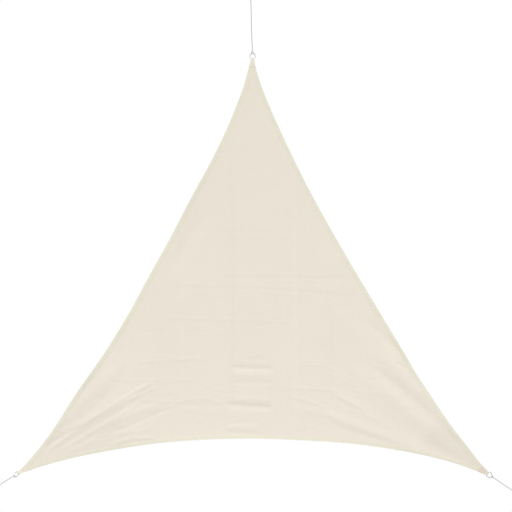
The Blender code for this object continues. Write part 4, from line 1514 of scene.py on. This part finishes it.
@dataclass
class CornerCord:
    """A corner's cord: the hitch round the ring, the taut run, and the knot and loop beyond it."""

    corner: Corner
    run_steps: int = 200
    tuck: float = 0.003
    core_share: float = 0.6
    core_slimmer: float = 0.95
    core_steps: int = 20
    wrap: float = 0.00233
    wrap_turns: float = 3.0
    wrap_starts: float = 0.15
    wrap_steps: int = 160
    wrap_tucked: float = 0.0012
    wrap_tucks_over: float = 0.12
    turn_lean: float = 0.4
    turn_degs: tuple[float, ...] = (-98, -60, -20, 20, 60, 98)
    turn_steps: int = 120
    foot: tuple = ((0.0050, 0.0022, 0.0018), (0.0010, 0.0042, 0.0042), (-0.0045, 0.0074, 0.0062))
    loop_leg: tuple = ((-0.0055, 0.0032), (0.0020, 0.0036), (0.0140, 0.0068), (0.0300, 0.0112))
    loop_past: float = 0.15
    loop_points: int = 9
    loop_steps: int = 300

    @property
    def end_knot_at(self) -> float:
        """From the ring's middle to the middle of the knot at the far end."""
        return self.corner.cord_shown + END_KNOT_PAST_VIEW + KNOT_LENGTH / 2

    def taut_route(self) -> np.ndarray:
        """The middle line of the taut run between its two knots, in the frame."""
        begin = self.corner.hitch_at + KNOT_LENGTH / 2 - self.tuck
        finish = self.end_knot_at - KNOT_LENGTH / 2 + self.tuck
        knots = np.linspace(begin, finish, len(self.corner.wander))
        route = [(u, v, 0.0) for u, v in zip(knots, self.corner.wander)]
        line = smooth_curve(knots, route, np.linspace(begin, finish, self.run_steps))
        return self.corner.placed(line)

    def add_knot(self, rope: Braid, middle: float) -> None:
        """Winds a barrel of turns round the pull line, with the cord's core inside it."""
        end = self.core_share / 2
        core = np.linspace(-end, end, self.core_steps) * KNOT_LENGTH + middle
        rope.follow(self.corner.placed([(u, 0, 0) for u in core]), CORD / 2 * self.core_slimmer)
        reach = KNOT_WIDTH / 2 - self.wrap
        share = np.linspace(0, 1, self.wrap_steps)
        tuck = smooth_step(np.minimum(share, 1 - share) / self.wrap_tucks_over)
        radius = self.wrap_tucked + (reach - self.wrap_tucked) * tuck
        angle = math.tau * (self.wrap_turns * share + self.wrap_starts)
        u = middle + (share - 0.5) * (KNOT_LENGTH - 2 * self.wrap)
        coil = np.stack([u, radius * np.cos(angle), radius * np.sin(angle)], axis=1)
        rope.follow(self.corner.placed(coil), self.wrap)

    def build_hitch(self) -> bpy.types.Object:
        """Two turns that pass in through the ring and round its bow, and the knot."""
        corner = self.corner
        clear = (RING_WIRE + CORD) / 2 + 2 * GAP
        heel = corner.hitch_at - KNOT_LENGTH / 2
        rope = Braid(f"cord_hitch_{corner.name}")
        for bow_deg in corner.hitch_turns:
            bow_angle = math.radians(bow_deg)
            hand = math.copysign(1, bow_deg)
            lean = bow_angle * self.turn_lean
            wire = (RING_BOW + RING_SIDE * math.cos(bow_angle), RING_SIDE * math.sin(bow_angle))
            reach = clear / math.cos(bow_angle - lean)
            turn = []
            for wire_angle in np.radians(self.turn_degs):
                inward = reach * math.cos(wire_angle)
                place = (wire[0] - inward * math.cos(lean), wire[1] - inward * math.sin(lean))
                turn.append((*place, clear * math.sin(wire_angle)))
            foot = [(heel + u, v * hand, y) for u, v, y in self.foot]
            route = [*((u, v, -y) for u, v, y in foot), *turn, *foot[::-1]]
            line = smooth_route(route, self.turn_steps)
            rope.follow(corner.placed(line, corner.turn_deg), CORD / 2)
        self.add_knot(rope, corner.hitch_at)
        return rope.build()

    def build_run(self) -> tuple[bpy.types.Object, np.ndarray]:
        """The taut run, and the middles of its rings."""
        rope = Braid(f"taut_cord_{self.corner.name}")
        middles = rope.follow(self.taut_route(), CORD / 2)
        return rope.build(), middles

    def build_end(self) -> bpy.types.Object:
        """The knot and the loop at the far end, which goes over a hook."""
        start = self.end_knot_at + KNOT_LENGTH / 2
        half = (LOOP_WIDTH - CORD) / 2
        shoulder = start + LOOP_LENGTH - CORD / 2 - half
        leg = [(start + u, v, 0.0) for u, v in self.loop_leg]
        past = self.loop_past
        bight = [
            (shoulder + half * math.sin(a), half * math.cos(a), 0.0)
            for a in np.linspace(-past, math.pi + past, self.loop_points)
        ]
        route = [*leg, *bight, *[(u, -v, y) for u, v, y in reversed(leg)]]
        rope = Braid(f"cord_end_{self.corner.name}")
        rope.follow(self.corner.placed(smooth_route(route, self.loop_steps)), CORD / 2)
        self.add_knot(rope, self.end_knot_at)
        return rope.build()

    def build(self, rope: bpy.types.Material, painted_light_rope: bpy.types.Material) -> None:
        name = self.corner.name
        run, middles = self.build_run()
        hitch, end = self.build_hitch(), self.build_end()
        dress(run, rope, "cord_fibre", f"cord_{name}")
        dress(hitch, painted_light_rope, "cord_fibre", f"cord_{name}_hitch")
        dress(end, rope, "cord_fibre", f"cord_{name}_end")


# ---------------------------------------------------------------- stitching
@dataclass
class Stitching:
    """Rows of lockstitch: the same short stitch along every seam, on both faces."""

    thread: float = 0.0008
    hem_pitch: float = 0.0042
    tab_pitch: float = 0.0030
    cover: float = 0.72
    stands_off: float = 0.12
    look_from: float = 0.3

    def __post_init__(self) -> None:
        """Starts with no stitches and one stitch modelled to copy."""
        self.points: list = []
        self.faces: list = []
        self.model, self.model_faces = self.one_stitch()

    @staticmethod
    def one_stitch() -> tuple[np.ndarray, np.ndarray]:
        """A stitch one unit long along X and one thick, its ends drawn in where they go down."""
        deselect_all()
        bpy.ops.mesh.primitive_uv_sphere_add(segments=6, ring_count=3, radius=0.5)
        model = bpy.context.object
        bpy.ops.object.mode_set(mode="EDIT")
        bpy.ops.mesh.select_all(action="SELECT")
        bpy.ops.transform.rotate(value=math.pi / 2, orient_axis="Y", center_override=(0, 0, 0))
        bpy.ops.mesh.quads_convert_to_tris()
        bpy.ops.mesh.select_all(action="DESELECT")
        bm = bmesh.from_edit_mesh(model.data)
        for vertex in bm.verts:
            vertex.select_set(abs(vertex.co.x) < 0.4)
        bm.select_flush_mode()
        bmesh.update_edit_mesh(model.data)
        bpy.ops.transform.resize(value=(1.35, 1.1, 1.1), center_override=(0, 0, 0))
        bpy.ops.object.mode_set(mode="OBJECT")
        points = np.array([v.co for v in model.data.vertices])
        faces = np.array([f.vertices for f in model.data.polygons])
        bpy.data.objects.remove(model)
        return points, faces

    def sew(self, line: np.ndarray, pitch: float, ground: BVHTree, side: Side) -> None:
        """Sews one row of stitches on one face.

        Args:
            line: the seam's (x, z) points.
            pitch: from one needle hole to the next.
            ground: the surface that is sewn.
            side: the face on which the stitches lie.
        """
        _, spots = even_points(line, pitch, 1)
        for first, second in zip(spots, spots[1:]):
            middle, way = (first + second) / 2, second - first
            start = Vector((middle[0], side.value * self.look_from, middle[1]))
            hit, normal, _, _ = ground.ray_cast(start, Vector((0, -side.value, 0)))
            if hit is None:
                continue
            along = Vector((way[0], 0, way[1]))
            length = along.length * self.cover
            along = (along - along.dot(normal) * normal).normalized()
            across = normal.cross(along)
            axes = np.array([along * length, across * self.thread, normal * self.thread])
            foot = np.array(hit + normal * self.thread * self.stands_off)
            self.points.append(self.model @ axes + foot)
            self.faces.append(self.model_faces + len(self.points[0]) * (len(self.points) - 1))

    def build(self) -> bpy.types.Object:
        """All the stitches as one piece."""
        seams = mesh_piece("stitching", np.concatenate(self.points), np.concatenate(self.faces).tolist())
        seams.data.shade_smooth()
        return seams


def surface_of(piece: bpy.types.Object) -> BVHTree:
    """A piece's surface, for finding what lies under a stitch."""
    return BVHTree.FromPolygons(
        [v.co for v in piece.data.vertices], [p.vertices for p in piece.data.polygons]
    )


# ---------------------------------------------------------------- the studio
@dataclass
class Studio:
    """The camera at the photograph's place, a white room, two far lights and a pale floor."""

    view_middle: tuple[float, float] = (0.0436, -2.0399)
    view_distance: float = 9.115
    lens_mm: float = 85.0
    sensor_mm: float = 36.0
    floor_level: float = -4.55
    floor_behind: float = 2.0
    floor_reach: float = 14.0
    sky_level: float = 0.433
    sky_slope: float = 0.08
    key_strength: float = 1.83
    key_from: tuple[float, float, float] = (-0.07, -0.74, 0.67)
    back_strength: float = 1.2
    back_from: tuple[float, float, float] = (0.45, 0.88, -0.14)
    light_spread_deg: float = 14.0
    light_distance: float = 5.0

    def add_camera(self) -> None:
        """Sets the camera face on to the sail."""
        deselect_all()
        x, z = self.view_middle
        place = (x, -self.view_distance, z)
        bpy.ops.object.camera_add(location=place, rotation=(math.pi / 2, 0, 0))
        camera = bpy.context.object
        camera.data.lens = self.lens_mm
        camera.data.sensor_width = self.sensor_mm
        bpy.context.scene.camera = camera

    def add_room(self) -> None:
        """An even white surround, a little brighter from above."""
        world = bpy.data.worlds.new("white room")
        world.use_nodes = True
        nodes = Nodes(world.node_tree)
        background = world.node_tree.nodes["Background"]
        way = nodes.add("SeparateXYZ", Vector=nodes.add("TexCoord").outputs["Generated"])
        level = nodes.maths("MULTIPLY_ADD", way.outputs["Z"], self.sky_slope, self.sky_level)
        rays = nodes.add("LightPath").outputs
        seen = nodes.maths("MAXIMUM", rays["Is Camera Ray"], rays["Is Glossy Ray"])
        shown = nodes.blend(seen, level, (1.0, 1.0, 1.0))
        nodes.feed(background.inputs["Color"], shown)
        bpy.context.scene.world = world

    def add_lights(self) -> None:
        """A broad far light from above in front of the sail, and a weaker level one on its back."""
        for strength, source in (
            (self.key_strength, self.key_from),
            (self.back_strength, self.back_from),
        ):
            deselect_all()
            bpy.ops.object.light_add(type="SUN", location=Vector(source) * self.light_distance)
            light = bpy.context.object
            light.data.energy = strength
            light.data.angle = math.radians(self.light_spread_deg)
            light.rotation_euler = Vector(source).to_track_quat("Z", "Y").to_euler()

    def add_floor(self, effects: Effects) -> None:
        """A pale floor below the sail, which ends behind it before the camera could see it."""
        deselect_all()
        bpy.ops.mesh.primitive_plane_add(size=1.0)
        floor = bpy.context.object
        floor.name = "studio_floor"
        floor.scale = (2 * self.floor_reach, self.floor_reach + self.floor_behind, 1)
        floor.location = (0, (self.floor_behind - self.floor_reach) / 2, self.floor_level)
        bpy.ops.object.transform_apply(location=True, rotation=True, scale=True)
        floor.data.materials.append(FloorFinish().material(effects))


def sew_sail(sail: SailCloth, cloth: bpy.types.Object, tabs: list) -> bpy.types.Object:
    """Sews the hems and the tabs.

    Args:
        sail: the cloth's builder, which knows where its hem seam lies.
        cloth: the finished cloth.
        tabs: each finished tab with its builder.

    Returns:
        All the stitches as one piece.
    """
    stitching = Stitching()
    ground = surface_of(cloth)
    sewn = np.linspace(HEM_SEAM_FROM, 1 - HEM_SEAM_FROM, HEM_SEAM_STEPS)
    for edge in EDGES:
        seam = sail.shape.edge_points(edge, sewn, edge.hem - sail.seam_from_fold)
        for side in Side:
            stitching.sew(seam, stitching.hem_pitch, ground, side)
    for builder, tab in tabs:
        surface = surface_of(tab)
        for line in builder.seam_lines():
            for side in Side:
                stitching.sew(line, stitching.tab_pitch, surface, side)
    return stitching.build()


def main() -> None:
    """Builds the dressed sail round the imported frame."""
    logging.basicConfig(level=logging.INFO, format="%(name)s: %(message)s")
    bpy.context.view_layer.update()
    bpy.context.scene.view_settings.view_transform = "Standard"
    effects = Effects()
    studio = Studio()
    studio.add_camera()
    rope = RopeFinish().material(effects)
    for corner in CORNERS:
        # each hitch's rope is painted paler than the runs as painted light, its valleys a fixed step
        # darker as painted shade
        pale, deep = corner.hitch_painted_light, corner.hitch_painted_light - HITCH_CONTRAST
        painted_light_rope = RopeFinish(plait=(pale,) * 3, valley_painted_shade=(deep,) * 3).material(effects)
        CornerCord(corner).build(rope, painted_light_rope)
    studio.add_room()
    studio.add_lights()
    studio.add_floor(effects)

    shape = SailShape()
    sail = SailCloth(shape)
    cloth = sail.build()
    dress(cloth, ClothFinish().material(effects), "sail_fabric", "sail_cloth")
    steel = SteelFinish().material(effects)
    tabs = []
    for corner in CORNERS:
        builder = CornerTab(shape, corner)
        tab = builder.build()
        webbing = WebbingFinish(tab_painted_shade=corner.tab_painted_shade).material(effects)
        dress(tab, webbing, "tab_webbing", f"corner_tab_{corner.name}")
        tabs.append((builder, tab))
        dress(DRing(corner).build(), steel, "ring_steel", f"ring_{corner.name}")
    stitches = sew_sail(sail, cloth, tabs)
    dress(stitches, ThreadFinish().material(effects), "sail_fabric")


if __name__ == "__main__":
    main()
